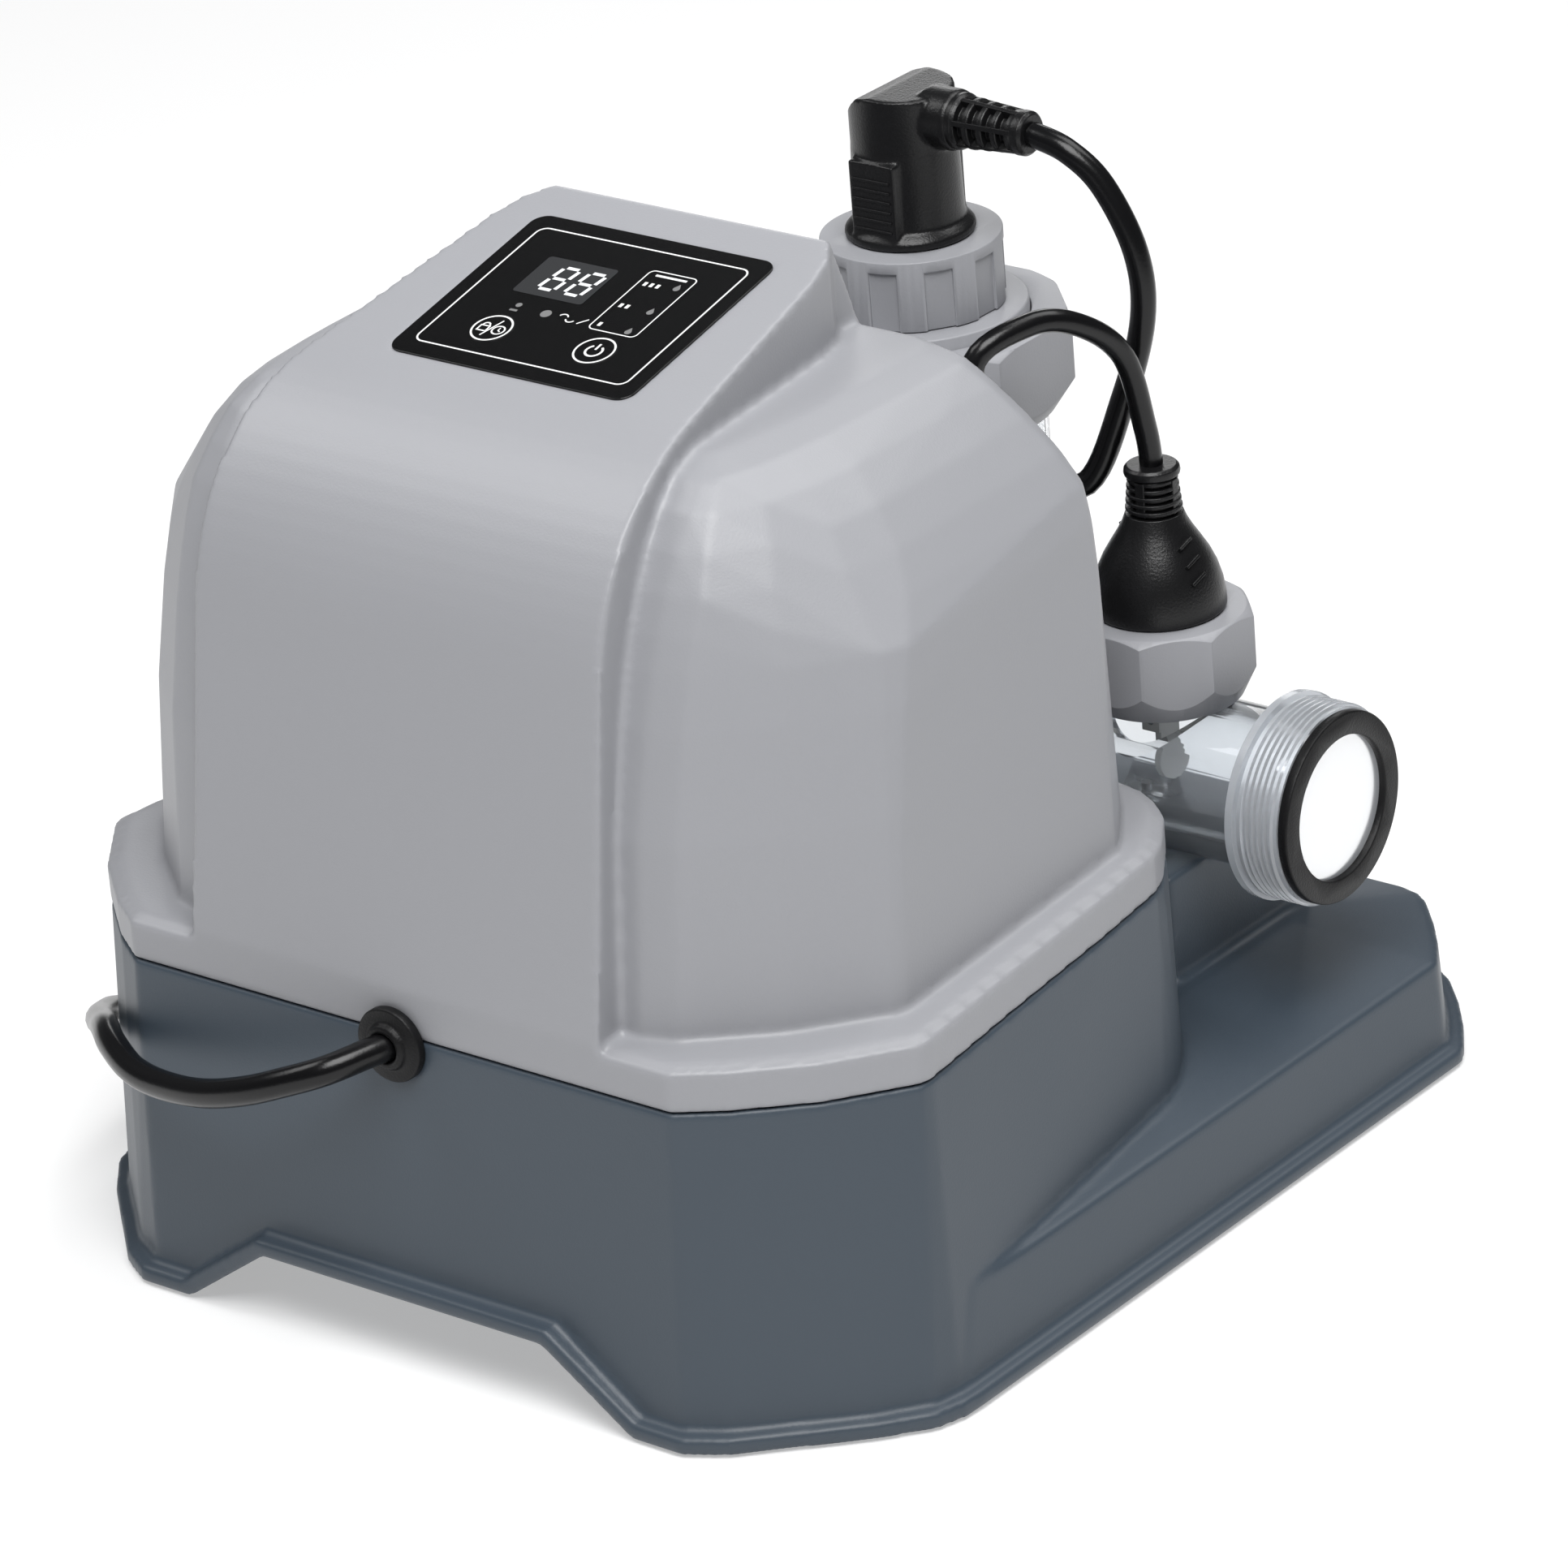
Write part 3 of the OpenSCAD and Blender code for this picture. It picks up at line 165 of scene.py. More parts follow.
def from_bmesh(name, bm, mat, body="housing", smooth=True):
    bmesh.ops.recalc_face_normals(bm, faces=bm.faces)
    mesh = bpy.data.meshes.new(name)
    bm.to_mesh(mesh)
    bm.free()
    return link(name, mesh, mat, body, smooth)


def crisp(obj, width, segments=3, angle=30):
    """Rounds the hard edges and keeps the flats flat."""
    bevel = obj.modifiers.new("edges", "BEVEL")
    bevel.width = width / 1000
    bevel.segments = segments
    bevel.limit_method = "ANGLE"
    bevel.angle_limit = math.radians(angle)
    bevel.harden_normals = True


def bake(obj):
    """Turns the modifiers into plain geometry."""
    graph = bpy.context.evaluated_depsgraph_get()
    mesh = bpy.data.meshes.new_from_object(obj.evaluated_get(graph))
    obj.modifiers.clear()
    obj.data = mesh


def curve(points, steps=6):
    """Catmull-Rom line through the points."""
    p = [Vector(q) for q in points]
    out = []
    for i in range(len(p) - 1):
        a, b, c, d = p[max(i - 1, 0)], p[i], p[i + 1], p[min(i + 2, len(p) - 1)]
        for k in range(steps):
            t = k / steps
            out.append(0.5 * (2 * b + (c - a) * t + (2 * a - 5 * b + 4 * c - d) * t * t
                              + (3 * b - a - 3 * c + d) * t ** 3))
    return out + [p[-1]]


def tube(name, points, radius, mat):
    data = bpy.data.curves.new(name, "CURVE")
    data.dimensions = "3D"
    data.bevel_depth = radius
    data.bevel_resolution = 5
    data.use_fill_caps = True
    line = data.splines.new("POLY")
    line.points.add(len(points) - 1)
    for point, at in zip(line.points, points):
        point.co = (*at, 1)
    line.use_smooth = True
    obj = bpy.data.objects.new(name, data)
    bpy.context.scene.collection.objects.link(obj)
    data.materials.append(mat)
    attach(obj, "housing")
    return obj


def ring_shape(profile, sides=64):
    """Profile of (radius, height) points in mm turned about Z; it may start and end on the axis."""
    axis = 1e-6
    bm = bmesh.new()
    rings = []
    for i in range(sides):
        a = 2 * math.pi * i / sides
        rings.append([bm.verts.new((r * math.cos(a) / 1000, r * math.sin(a) / 1000, z / 1000))
                      if r > axis else None for r, z in profile])
    poles = {}
    for j, (r, z) in enumerate(profile):
        if r <= axis:
            poles[j] = bm.verts.new((0, 0, z / 1000))
    count = len(profile)
    closed = profile[0][0] > axis or profile[-1][0] > axis
    for i in range(sides):
        a, b = rings[i], rings[(i + 1) % sides]
        for j in range(count if closed else count - 1):
            k = (j + 1) % count
            quad = [a[j] or poles.get(j), b[j] or poles.get(j), b[k] or poles.get(k), a[k] or poles.get(k)]
            quad = list(dict.fromkeys(quad))
            if len(quad) > 2:
                bm.faces.new(quad)
    return bm


def set_at(bm, at, aim=None):
    matrix = Matrix.Translation(at) @ (aim.to_4x4() if aim else Matrix.Identity(4))
    bmesh.ops.transform(bm, matrix=matrix, verts=bm.verts)


def turned(name, profile, mat, at, aim=None, sides=96, edge=0.0):
    """A turned piece: profile about Z, then turned by aim and set at a point."""
    bm = ring_shape(profile, sides)
    set_at(bm, at, aim)
    obj = from_bmesh(name, bm, mat)
    if edge:
        crisp(obj, edge)
    return obj


def shift(x, y, z):
    return Matrix.Translation(Vector((x, y, z)) / 1000)


def turn(degrees, axis):
    return Matrix.Rotation(math.radians(degrees), 4, axis)


def bar(bm, size, *moves):
    """A box of a size in mm about the origin, moved by each matrix in turn."""
    verts = bmesh.ops.create_cube(bm, size=1)["verts"]
    bmesh.ops.scale(bm, vec=Vector(size) / 1000, verts=verts)
    for move in moves:
        bmesh.ops.transform(bm, matrix=move, verts=verts)


def block(bm, low, high):
    """A box between two corners."""
    size = [h - l for l, h in zip(low, high)]
    middle = place(*[(l + h) / 2 for l, h in zip(low, high)])
    bar(bm, size, Matrix.Translation(middle))


# ------------------------------------------------------------------ mains cord, coil and plug
CORD_D = 8.4
COIL_X, COIL_Y = -216.0, 262.0
LAYERS = [(56.4, 4.25), (48.0, 4.25), (39.6, 4.25), (39.6, 12.7), (48.0, 12.7), (56.4, 12.6)]
TURN_STEPS = 60
COIL_START = 218  # where the cord meets the coil, in degrees
SKIPPED = 0.08  # the first part of the first turn, where the cord comes in
PLUG_AT = place(-276, 316, 18.5)
PIN_APART = 9.5


def coil_turns():
    """Six turns, each stepping over to the next one's radius and height in its last fifth."""
    points = []
    for k, here in enumerate(LAYERS):
        there = LAYERS[min(k + 1, len(LAYERS) - 1)]
        for i in range(TURN_STEPS):
            f = i / TURN_STEPS
            if k == 0 and f < SKIPPED:
                continue
            s = max(0.0, (f - 0.8) / 0.2)
            s = s * s * (3 - 2 * s)
            r = here[0] + (there[0] - here[0]) * s
            z = here[1] + (there[1] - here[1]) * s
            angle = math.radians(COIL_START - 360 * f)
            points.append(place(COIL_X + r * math.cos(angle), COIL_Y + r * math.sin(angle), z))
    return points


free = curve([place(*q) for q in [
    (0, 22, 97.5), (0, 0, 97.5), (-3, -10, 97), (-9, -20, 95), (-20, -25, 91), (-33, -27, 86),
    (-50, -26, 80.5), (-69, -22, 76.5), (-85, -17, 75), (-101, -8, 75), (-112, 1, 73), (-124, 12, 67),
    (-141, 28, 58), (-157, 52, 46), (-166, 76, 29), (-174, 98, 13), (-186, 120, 5), (-204, 144, 4.25),
    (-225, 172, 4.25), (-251, 212, 4.25)]])
tail = curve([place(*q) for q in [
    (-272.4, 258, 12.6), (-273, 274, 12.6), (-274.5, 292, 13.5), (-276, 308, 17), (-276, 316, 18.5)]])
path = free + coil_turns() + tail[1:]
cord_obj = tube("cord_sheathing", path, CORD_D / 2000, SHEATH)
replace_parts(cord_obj, "power_cord", "power_cord_coil")

plug = turned("mains_plug_body", [
    (0, -2), (5.6, -2), (6, 0), (6.2, 3), (5.4, 3.6), (5.4, 5), (6.5, 5.6), (6.7, 8.6), (5.8, 9.2),
    (5.8, 10.6), (7, 11.2), (7.3, 14.2), (6.4, 14.8), (6.4, 16.2), (7.8, 17), (8.5, 22), (12.5, 27),
    (18.3, 35), (18.5, 38), (18.5, 52), (0, 52)], BLACK, PLUG_AT, TO_Y, edge=0.5)
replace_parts(plug, "mains_plug")
PIN = [(0, 51), (2.4, 51), (2.4, 69.5), (1.6, 71), (0, 71)]
pins = [turned(name, PIN, BRASS, PLUG_AT + Vector((x / 1000, 0, 0)), TO_Y, sides=32)
        for name, x in (("plug_pin_left", -PIN_APART), ("plug_pin_right", PIN_APART))]
bm = bmesh.new()
for z in (-16.8, 16.8):
    bar(bm, (10, 17, 3), Matrix.Translation(PLUG_AT) @ shift(0, 42.5, z))
clips = from_bmesh("plug_earth_contacts", bm, BRASS, smooth=False)

# ------------------------------------------------------------------ leads behind the cover
LEAN = math.radians(15.7)  # of the cover's back wall
WALL_FOOT_Y, WALL_FOOT_Z = 205, 113
GLAND_Z = 150
BACK_Y = WALL_FOOT_Y - (GLAND_Z - WALL_FOOT_Z) * math.tan(LEAN)
SHOULDER_STEP = 1.5  # the shoulders' back wall lies this far inside the saddle's
SADDLE_HALF = 49  # at the back wall
CELL_GLAND_X, SENSOR_GLAND_X = 22, 66


def gland(x, out):
    """A point on a rear gland's axis, at a distance out from the back wall."""
    y = BACK_Y if x < SADDLE_HALF else BACK_Y - SHOULDER_STEP
    return (x, y + out * math.cos(LEAN), GLAND_Z + out * math.sin(LEAN))


def lead(name, node, points, diameter):
    line = curve([place(*q) for q in points], 8)
    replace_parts(tube(name, line, diameter / 2000, SHEATH), node)


x, y, z = gland(CELL_GLAND_X, 12)
lead("cell_lead_sheath", "cell_lead", [
    gland(x, -8), gland(x, 4), (x, y, z), gland(x, 22), (x + 11, y + 18, z + 9),
    (x + 23, y + 31, z + 30), (60, 248, 182), (70, 254, 207), (78, 255, 233), (77, 255, 253),
    (68, 253.5, 272), (58, PIPE_Y, BOOT_Z - 3), (46, PIPE_Y, BOOT_Z)], 7.4)
x, y, z = gland(SENSOR_GLAND_X, 12)
lead("sensor_lead_sheath", "sensor_lead", [
    gland(x, -8), gland(x, 4), (x, y, z), gland(x, 21), (x - 3, y + 16, z + 20),
    (x - 5, y + 8, z + 48), (62, 196, 236), (70, 212, 245), (76, 227, 241), (80, 242, 227),
    (SENSOR_X, 249, SENSOR_PLUG_Z + 56.2), (SENSOR_X, PIPE_Y, SENSOR_PLUG_Z + 44.2)], 6.8)


# ------------------------------------------------------------------ mouldings
def solid_copy(node):
    source = nodes[node]
    bm = bmesh.new()
    bm.from_mesh(source.data)
    bmesh.ops.transform(bm, matrix=source.matrix_world, verts=bm.verts)
    bmesh.ops.remove_doubles(bm, verts=bm.verts, dist=2e-6)
    return bm


def moulded(name, bm, mat, voxel, rounds):
    """One flowing moulding: every edge and inside corner gets a small radius."""
    obj = from_bmesh(name, bm, mat)
    skin = obj.modifiers.new("skin", "REMESH")
    skin.mode = "VOXEL"
    skin.voxel_size = voxel / 1000
    soften = obj.modifiers.new("rounding", "SMOOTH")
    soften.factor = 0.5
    soften.iterations = rounds
    bake(obj)
    for face in obj.data.polygons:
        face.use_smooth = True
    return obj


def softened(name, node, mat, width, body):
    """The CAD shape with its edges rounded."""
    bm = solid_copy(node)
    bmesh.ops.dissolve_limit(bm, angle_limit=math.radians(0.6), verts=bm.verts, edges=bm.edges)
    obj = from_bmesh(name, bm, mat, body)
    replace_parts(obj, node)
    crisp(obj, width, 2, 25)


cover = moulded("cover_moulding", solid_copy("top_cover"), COVER, 1.1, 4)
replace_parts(cover, "top_cover")
base = moulded("base_moulding", solid_copy("base_housing"), BASE, 1.25, 3)
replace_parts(base, "base_housing")

# ------------------------------------------------------------------ control panel artwork
TILT = math.radians(12.6)
PANEL_Y = 104.9
PANEL_TO_TOP = 49.1  # along y, from the panel's middle to the cover's highest edge
PANEL_Z = COVER_TOP - PANEL_TO_TOP * math.tan(TILT)
PANEL = Matrix.Translation(place(0, PANEL_Y, PANEL_Z)) @ Matrix.Rotation(TILT, 4, "X")
TOP = 0.3  # the film's face above the cover
LINE = TOP + 0.04
GLASS = LINE + 0.02
DIGIT_LIFT = TOP + 0.09
BUTTON_X, BUTTON_Y = 18.1, -17.7
BUTTON_R = 6.6
PRINT = TOP + 0.1


def ribbon(bm, points, width, lift, closed=False):
    """A flat printed line of even width on the panel."""
    pts = [Vector((x, y, lift)) for x, y in points]
    n = len(pts)
    sides = []
    for i, q in enumerate(pts):
        before = pts[(i - 1) % n] if closed or i else q
        after = pts[(i + 1) % n] if closed or i < n - 1 else q
        d1 = (q - before).normalized() if q != before else (after - q).normalized()
        d2 = (after - q).normalized() if after != q else d1
        d = (d1 + d2).normalized()
        reach = width / 2 / max(0.4, d.dot(d1))
        across = Vector((-d.y, d.x, 0)) * reach
        sides.append((bm.verts.new((q + across) / 1000), bm.verts.new((q - across) / 1000)))
    for i in range(n if closed else n - 1):
        a, b = sides[i], sides[(i + 1) % n]
        bm.faces.new((a[0], a[1], b[1], b[0]))


def arc(cx, cy, r, start, end, steps):
    return [(cx + r * math.cos(math.radians(start + (end - start) * i / steps)),
             cy + r * math.sin(math.radians(start + (end - start) * i / steps))) for i in range(steps + 1)]


def circle(cx, cy, r, steps):
    return arc(cx, cy, r, 0, 360, steps)[:-1]


def rounded_box(cx, cy, w, l, r):
    out = []
    for k, (sx, sy) in enumerate(((1, 1), (-1, 1), (-1, -1), (1, -1))):
        out += arc(cx + sx * (w / 2 - r), cy + sy * (l / 2 - r), r, 90 * k, 90 * k + 90, 8)
    return out


def disc(bm, points, lift):
    bm.faces.new([bm.verts.new((x / 1000, y / 1000, lift / 1000)) for x, y in points])


def drop(cx, cy, s):
    """Outline of a water drop."""
    return [(cx, cy + s)] + arc(cx, cy - 0.25 * s, 0.62 * s, 150, 390, 16)


def slab(bm, points, low, high):
    """A flat outline drawn up from low to high."""
    bottom = [bm.verts.new((x / 1000, y / 1000, low / 1000)) for x, y in points]
    top = [bm.verts.new((x / 1000, y / 1000, high / 1000)) for x, y in points]
    bm.faces.new(list(reversed(bottom)))
    bm.faces.new(top)
    n = len(points)
    for i in range(n):
        bm.faces.new((bottom[i], bottom[(i + 1) % n], top[(i + 1) % n], top[i]))


def printed(name, bm, mat, body="housing"):
    bmesh.ops.transform(bm, matrix=PANEL, verts=bm.verts)
    mesh = bpy.data.meshes.new(name)
    bm.to_mesh(mesh)
    bm.free()
    return link(name, mesh, mat, body, smooth=False)


def digit(bm, cx, cy, w, h):
    """All seven segments of a leaning digit."""
    lean, width, gap = 0.16, 1.25, 0.75
    a, b = w / 2, h / 2
    spans = [((-a, b), (a, b)), ((-a, 0), (a, 0)), ((-a, -b), (a, -b)), ((-a, 0), (-a, b)), ((a, 0), (a, b)),
             ((-a, -b), (-a, 0)), ((a, -b), (a, 0))]

    def at(x, y):
        return (cx + x + lean * y, cy + y)

    for (x0, y0), (x1, y1) in spans:
        size = math.hypot(x1 - x0, y1 - y0)
        ux, uy = (x1 - x0) / size, (y1 - y0) / size
        ends = [at(x0 + ux * gap, y0 + uy * gap), at(x1 - ux * gap, y1 - uy * gap)]
        ribbon(bm, ends, width, DIGIT_LIFT)


def power_icon(bm, cx, cy):
    ribbon(bm, arc(cx, cy - 0.2, 2.5, 125, 415, 30), 0.7, PRINT)
    ribbon(bm, [(cx, cy + 0.4), (cx, cy + 3.2)], 0.7, PRINT)


def lock_and_clock_icon(bm, cx, cy):
    lock = [(cx - 4, cy - 1.9), (cx - 4, cy + 0.5), (cx - 1, cy + 0.5), (cx - 1, cy - 1.9)]
    ribbon(bm, lock, 0.5, PRINT, closed=True)
    ribbon(bm, arc(cx - 2.5, cy + 0.8, 1.1, 0, 180, 12), 0.5, PRINT)
    ribbon(bm, [(cx - 1.3, cy - 4), (cx + 1.3, cy + 4)], 0.5, PRINT)
    ribbon(bm, circle(cx + 2.6, cy - 0.4, 1.9, 24), 0.5, PRINT, closed=True)
    ribbon(bm, [(cx + 2.6, cy + 0.8), (cx + 2.6, cy - 0.5), (cx + 3.5, cy - 1)], 0.4, PRINT)


def button(name, cx, icon):
    bm = bmesh.new()
    slab(bm, circle(cx, BUTTON_Y, BUTTON_R, 48), -0.6, TOP + 0.05)
    cap = printed(name + "_cap", bm, FILM, name + "_body")
    crisp(cap, 0.15, 2)
    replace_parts(cap, name)
    bm = bmesh.new()
    ribbon(bm, circle(cx, BUTTON_Y, 5.9, 48), 0.6, PRINT, closed=True)
    icon(bm, cx, BUTTON_Y)
    printed(name + "_print", bm, INK, name + "_body")


bm = bmesh.new()
slab(bm, rounded_box(0, 0, 85, 71, 5), -0.65, TOP)
film = printed("panel_overlay", bm, FILM)
crisp(film, 0.25, 2)
bm = bmesh.new()
slab(bm, rounded_box(-12.6, 8.9, 24.6, 18, 1.2), TOP - 0.4, GLASS)
window = printed("display_window", bm, LCD)
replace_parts(film, "membrane_panel")
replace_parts(window, "display_module")

bm = bmesh.new()
ribbon(bm, rounded_box(0, 0.1, 74.2, 59, 3), 0.55, LINE, closed=True)
ribbon(bm, rounded_box(16.9, 6.1, 16.4, 30, 1.8), 0.4, LINE, closed=True)
ribbon(bm, [(11.5, 19.2), (22.3, 19.2)], 0.9, LINE)
for row, count in ((14.6, 3), (3.5, 2), (-6.2, 1)):
    for k in range(count):
        ribbon(bm, [(11.2 + 2.2 * k, row - 0.9), (11.2 + 2.2 * k, row + 0.9)], 1.1, LINE)
ribbon(bm, arc(-1.4, -6.8, 1.5, 20, 160, 10), 0.45, LINE)
ribbon(bm, arc(1.4, -6.8, 1.5, 200, 340, 10), 0.45, LINE)
ribbon(bm, [(4.4, -8.2), (6.8, -5.4)], 0.45, LINE)
printed("panel_border_lines", bm, INK)

bm = bmesh.new()
for row in (15.7, 3.5, -6.6):
    disc(bm, drop(21.6, row, 1.7), LINE)
disc(bm, arc(-7.4, -6.8, 1.7, 0, 345, 20), LINE)
disc(bm, arc(-17.9, -5.6, 1.0, 0, 345, 16), LINE)
ribbon(bm, [(-19.2, -8.2), (-16.6, -8.2)], 0.9, LINE)
icons = printed("panel_indicator_icons", bm, GREY_INK)
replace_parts(icons, "indicator_leds")

bm = bmesh.new()
for x in (-14.8, -5.6):
    digit(bm, x, 8.8, 5.6, 11)
printed("display_digits", bm, SEGMENT)
button("timer_button", -BUTTON_X, lock_and_clock_icon)
button("power_button", BUTTON_X, power_icon)

# ------------------------------------------------------------------ round pieces with softened edges
for node, mat, width, body in (
        ("cell_nut", NUT, 1.2, "cell_nut_body"), ("sensor_nut", NUT, 1.0, "sensor_nut_body"),
        ("cell_collar", NUT, 0.7, "cell_collar_body"), ("cell_head", NUT, 0.6, "housing"),
        ("outlet_gasket", RUBBER, 0.5, "housing"), ("inlet_gasket", RUBBER, 0.5, "housing"),
        ("cord_grommet", RUBBER, 0.8, "housing"), ("lead_grommets", RUBBER, 0.6, "housing")):
    softened(node + "_finished", node, mat, width, body)


# ------------------------------------------------------------------ clear flow pipe
def boolean(obj, other, operation):
    mod = obj.modifiers.new(operation.lower(), "BOOLEAN")
    mod.operation = operation
    mod.solver = "EXACT"
    mod.object = other
    bake(obj)
    bpy.data.objects.remove(other)


def rod(radius, length, at, aim=None):
    return turned("tool", [(0, 0), (radius, 0), (radius, length), (0, length)], CLEAR, at, aim)


def thread_profile():
    """A pipe end from its mouth inwards: six rounded ridges, then a stop flange."""
    root, crest, rim = 28.9, 29.75, 30.7
    profile = [(0, 0), (root, 0)]
    for k in range(6):
        z = 1.2 + 2.05 * k
        profile += [(root, z), (crest, z + 0.5), (crest, z + 0.95), (root, z + 1.5)]
    return profile + [(root, 13.9), (rim, 14.2), (rim, 16.6), (rim - 0.5, 17), (0, 17)]


BORE = [(0, -1), (21.6, -1), (20.2, 3), (20.2, 150), (0, 150)]
THREAD_FROM = 0.121  # how far out on each side the frosted thread begins, in m
CHAMBER_FLOOR = 74.8
ENDS = ((TO_NEG_X, PIPE_END), (TO_X, -PIPE_END))

pipe = rod(PIPE_R, 2 * PIPE_END, place(-PIPE_END, PIPE_Y, PIPE_Z), TO_X)
pipe.name = "flow_body_clear"
for aim, x in ENDS:
    boolean(pipe, turned("tool", thread_profile(), CLEAR, place(x, PIPE_Y, PIPE_Z), aim), "UNION")
boolean(pipe, rod(36, CHAMBER_TOP - CHAMBER_FLOOR, place(0, PIPE_Y, CHAMBER_FLOOR)), "UNION")
boolean(pipe, rod(37.3, 13, place(0, PIPE_Y, CHAMBER_TOP - 13)), "UNION")
boolean(pipe, rod(20.6, SENSOR_BOSS_TOP - PIPE_Z, place(SENSOR_X, PIPE_Y, PIPE_Z)), "UNION")
for x in (-58, 58):
    bm = bmesh.new()
    bar(bm, (14, 41, 9), Matrix.Translation(place(x, PIPE_Y, 79.3)))
    boolean(pipe, from_bmesh("tool", bm, CLEAR, smooth=False), "UNION")
for aim, x in ENDS:
    boolean(pipe, turned("tool", BORE, CLEAR, place(x, PIPE_Y, PIPE_Z), aim), "DIFFERENCE")
boolean(pipe, rod(32.8, 140, place(0, PIPE_Y, CHAMBER_FLOOR + 3.2)), "DIFFERENCE")
boolean(pipe, rod(15, 60, place(SENSOR_X, PIPE_Y, PIPE_Z)), "DIFFERENCE")
pipe.data.materials.clear()
pipe.data.materials.append(CLEAR)
pipe.data.materials.append(FROSTED)
for face in pipe.data.polygons:
    face.use_smooth = True
    face.material_index = int(abs(face.center.x) > THREAD_FROM)
pipe.data.set_sharp_from_angle(angle=math.radians(28))
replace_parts(pipe, "flow_body")


# ------------------------------------------------------------------ right-angle cell plug
def extruded(bm, outline, y0, y1):
    """A side view outline of (x, z) points pushed through from y0 to y1."""
    first = [bm.verts.new(place(x, y0, z)) for x, z in outline]
    last = [bm.verts.new(place(x, y1, z)) for x, z in outline]
    bm.faces.new(first)
    bm.faces.new(list(reversed(last)))
    n = len(outline)
    for i in range(n):
        bm.faces.new((first[i], last[i], last[(i + 1) % n], first[(i + 1) % n]))


def merge(bm, profile, at, aim=None):
    """Adds a turned shape to a mesh that is being built."""
    part = ring_shape(profile)
    set_at(part, at, aim)
    mesh = bpy.data.meshes.new("part")
    part.to_mesh(mesh)
    part.free()
    bm.from_mesh(mesh)


def plug_hood():
    """The plug's head: a side outline kept within the neck's radius."""
    hood_bm = bmesh.new()
    extruded(hood_bm, [
        (-17, BOOT_Z - 14), (-17, BOOT_Z - 5), (-12.5, BOOT_Z + 1), (-6, BOOT_Z + 6.6), (-1, BOOT_Z + 7.9),
        (13, BOOT_Z + 7.2), (17, BOOT_Z + 5), (17, BOOT_Z - 14)], PIPE_Y - 16, PIPE_Y + 16)
    obj = from_bmesh("hood", hood_bm, BLACK)
    boolean(obj, rod(15.5, 40, place(0, PIPE_Y, BOOT_Z - 20)), "INTERSECT")
    return obj


def relief_profile():
    """The ribbed sleeve where the cell lead leaves its plug, along the lead."""
    profile = [(0, 20), (8.0, 20), (8.3, 20.6), (8.3, 22.4), (7.8, 23)]
    for k in range(4):
        x = 23.6 + 4.7 * k
        r = 7.6 - 0.4 * k
        profile += [(r, x), (r - 1.9, x + 0.3), (r - 2.0, x + 2.6), (r - 0.1, x + 2.9), (r - 0.1, x + 4.2)]
    return profile + [(6.5, 42.4), (6.6, 43), (6.5, 45), (5.6, 46), (0, 46)]


bm = bmesh.new()
merge(bm, [(0, 0), (18.6, 0), (19, 0.6), (19, 2.2), (17.2, 4), (16.2, 4.4), (15.6, 27), (0, 27)],
      place(0, PIPE_Y, FLANGE_Z))
block(bm, (-8, PIPE_Y - 16.8, FLANGE_Z + 2), (8, PIPE_Y + 16.8, BOOT_Z - 11))
hood = plug_hood()
bm.from_mesh(hood.data)
bpy.data.objects.remove(hood)
merge(bm, [(0, 10), (9.0, 10), (9.0, 20), (8.2, 21.4), (0, 21.4)], place(0, PIPE_Y, BOOT_Z), TO_X)
cell_plug = moulded("cell_plug_body", bm, BLACK, 0.55, 8)
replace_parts(cell_plug, "cell_plug")

bm = bmesh.new()
for k in range(6):
    z = FLANGE_Z + 5.2 + 3.0 * k
    for y in (PIPE_Y - 17.2, PIPE_Y + 16.5):
        block(bm, (-6.6, y, z), (6.6, y + 0.7, z + 0.7))
crisp(from_bmesh("cell_plug_grip_ribs", bm, BLACK, smooth=False), 0.15, 2)
turned("cell_plug_strain_relief", relief_profile(), BLACK, place(0, PIPE_Y, BOOT_Z), TO_X, edge=0.25)
bm = bmesh.new()
for k in range(6):
    bar(bm, (19.5, 1.5, 3.2), turn(3.6, "Y"), shift(0, 0, 5.6), turn(60 * k + 15, "X"),
        Matrix.Translation(place(32.8, PIPE_Y, BOOT_Z)))
crisp(from_bmesh("cell_plug_relief_bars", bm, BLACK, smooth=False), 0.2, 2)


# ------------------------------------------------------------------ straight sensor plug
def bell_profile():
    """A bell with a ribbed neck and a collar, from its foot up."""
    profile = [(0, 0), (18.9, 0), (19.4, 0.7), (19.3, 4), (18.7, 8), (17.4, 12.5), (15.6, 16.5), (13.2, 20.5),
               (11, 24), (9.4, 27), (8.5, 29.4)]
    for k in range(5):
        z = 29.6 + 2.2 * k
        r = 8.4 - 0.22 * k
        profile += [(r, z), (r - 1.7, z + 0.15), (r - 1.75, z + 1.05), (r - 0.1, z + 1.2),
                    (r - 0.15, z + 2.0)]
    return profile + [(6.9, 41), (8.0, 41.3), (8.2, 42.2), (8.0, 43.4), (7.2, 44.2), (0, 44.2)]


ON_SENSOR = Matrix.Translation(place(SENSOR_X, PIPE_Y, SENSOR_PLUG_Z))
bell = turned("sensor_plug_bell", bell_profile(), BLACK, place(SENSOR_X, PIPE_Y, SENSOR_PLUG_Z), edge=0.2)
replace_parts(bell, "sensor_plug")
bm = bmesh.new()
for k in range(4):
    bar(bm, (2.4, 3.0, 10.5), shift(6.4, 0, 35.3), turn(90 * k + 5, "Z"), ON_SENSOR)
crisp(from_bmesh("sensor_plug_neck_bars", bm, BLACK, smooth=False), 0.3, 2)
bm = bmesh.new()
for side in (0, 180):
    for k, r in enumerate((16.9, 14.8, 12.1)):
        bar(bm, (2.2, 6.2, 0.9), turn(20, "X"), turn(-28 - 8 * k, "Y"), shift(r, 0, 12.8 + 4.7 * k),
            turn(side - 12, "Z"), ON_SENSOR)
crisp(from_bmesh("sensor_plug_thumb_ribs", bm, BLACK, smooth=False), 0.25, 2)


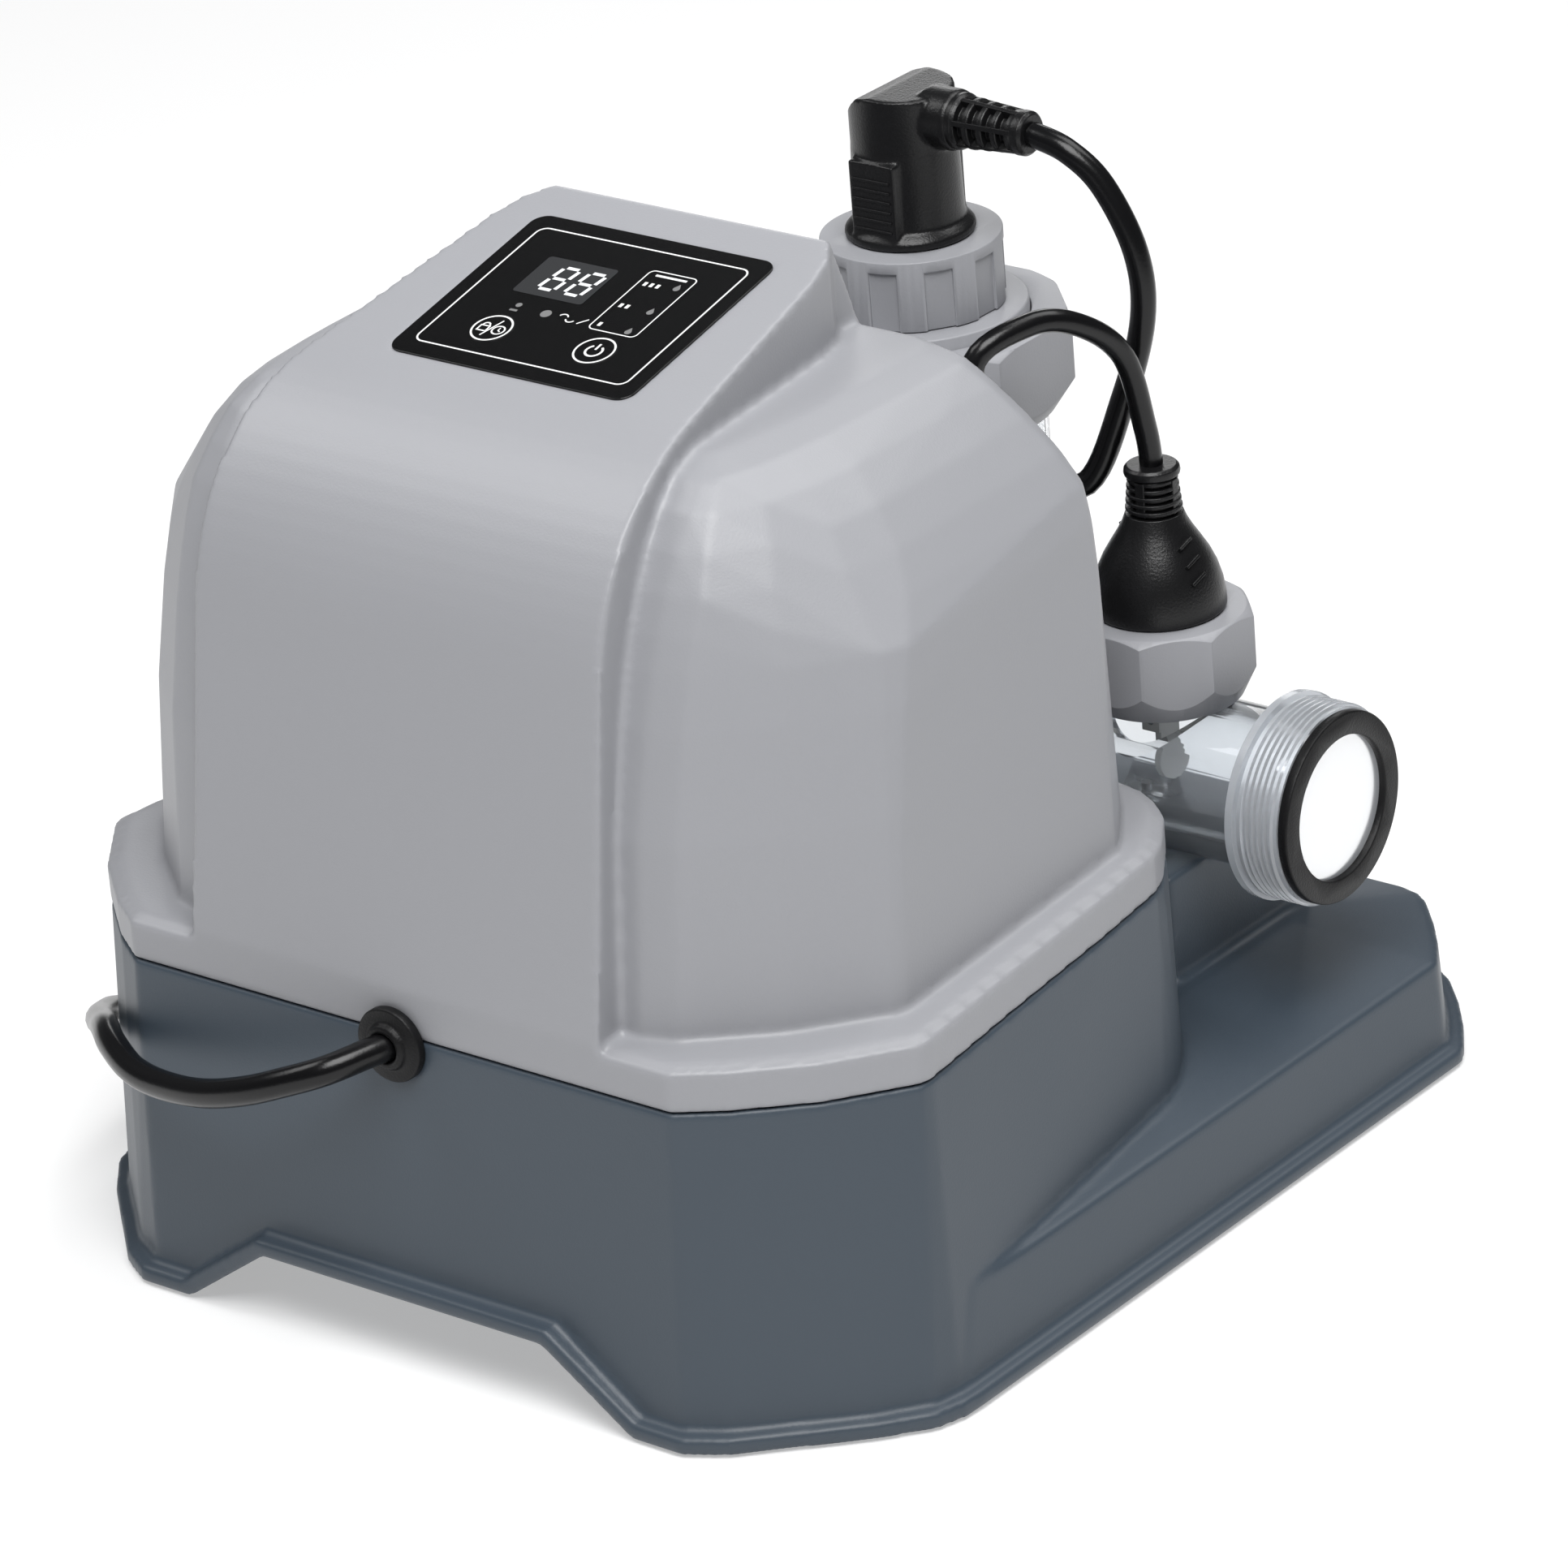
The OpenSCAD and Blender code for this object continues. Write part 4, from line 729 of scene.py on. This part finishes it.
# ------------------------------------------------------------------ floor, light and camera
def softbox(name, at, aim, size, power):
    data = bpy.data.lights.new(name, "AREA")
    data.shape = "RECTANGLE"
    data.size = size
    data.size_y = size
    data.energy = power
    obj = bpy.data.objects.new(name, data)
    obj.location = at
    obj.rotation_euler = (Vector(aim) - Vector(at)).to_track_quat("-Z", "Y").to_euler()
    bpy.context.scene.collection.objects.link(obj)


def product_camera(azimuth, elevation, roll, lens_mm, target, distance):
    """Looks at the target; the angles are in radians."""
    back = Vector((math.sin(azimuth) * math.cos(elevation), -math.cos(azimuth) * math.cos(elevation),
                   math.sin(elevation)))
    right = Vector((math.cos(azimuth), math.sin(azimuth), 0))
    up = back.cross(right)
    tilted_right = right * math.cos(roll) + up * math.sin(roll)
    tilted_up = up * math.cos(roll) - right * math.sin(roll)
    lens = bpy.data.cameras.new("product_camera")
    lens.lens = lens_mm
    lens.sensor_width = 36
    lens.clip_end = 20
    camera = bpy.data.objects.new("product_camera", lens)
    turned_axes = Matrix((tilted_right, tilted_up, back)).transposed().to_4x4()
    camera.matrix_world = Matrix.Translation(target + back * distance) @ turned_axes
    bpy.context.scene.collection.objects.link(camera)
    bpy.context.scene.camera = camera


bm = bmesh.new()
bmesh.ops.create_grid(bm, x_segments=1, y_segments=1, size=6)
from_bmesh("studio_floor", bm, STUDIO, smooth=False)
softbox("key_above", (0.62, -0.66, 1.75), (0, 0, 0.1), 1.2, 41)
softbox("bend_left", (-1.15, -0.5, 1.55), (0, 0, 0.2), 0.8, 8)
softbox("rim_back", (0.35, 1.0, 1.9), (0, 0.05, 0.1), 1.2, 17)
softbox("sheen_back", (-1.3, 1.7, 0.8), (0, 0.05, 0.1), 0.8, 5)
bpy.context.scene.view_settings.view_transform = "Standard"
world = bpy.data.worlds.new("studio")
bpy.context.scene.world = world
world.use_nodes = True
world.node_tree.nodes["Background"].inputs["Color"].default_value = (0.95, 0.97, 1, 1)
world.node_tree.nodes["Background"].inputs["Strength"].default_value = 0.08
product_camera(math.radians(39.87), math.radians(24.63), math.radians(-4.73), 181.03,
               place(61.67, 100, 147.88), 2.16618)
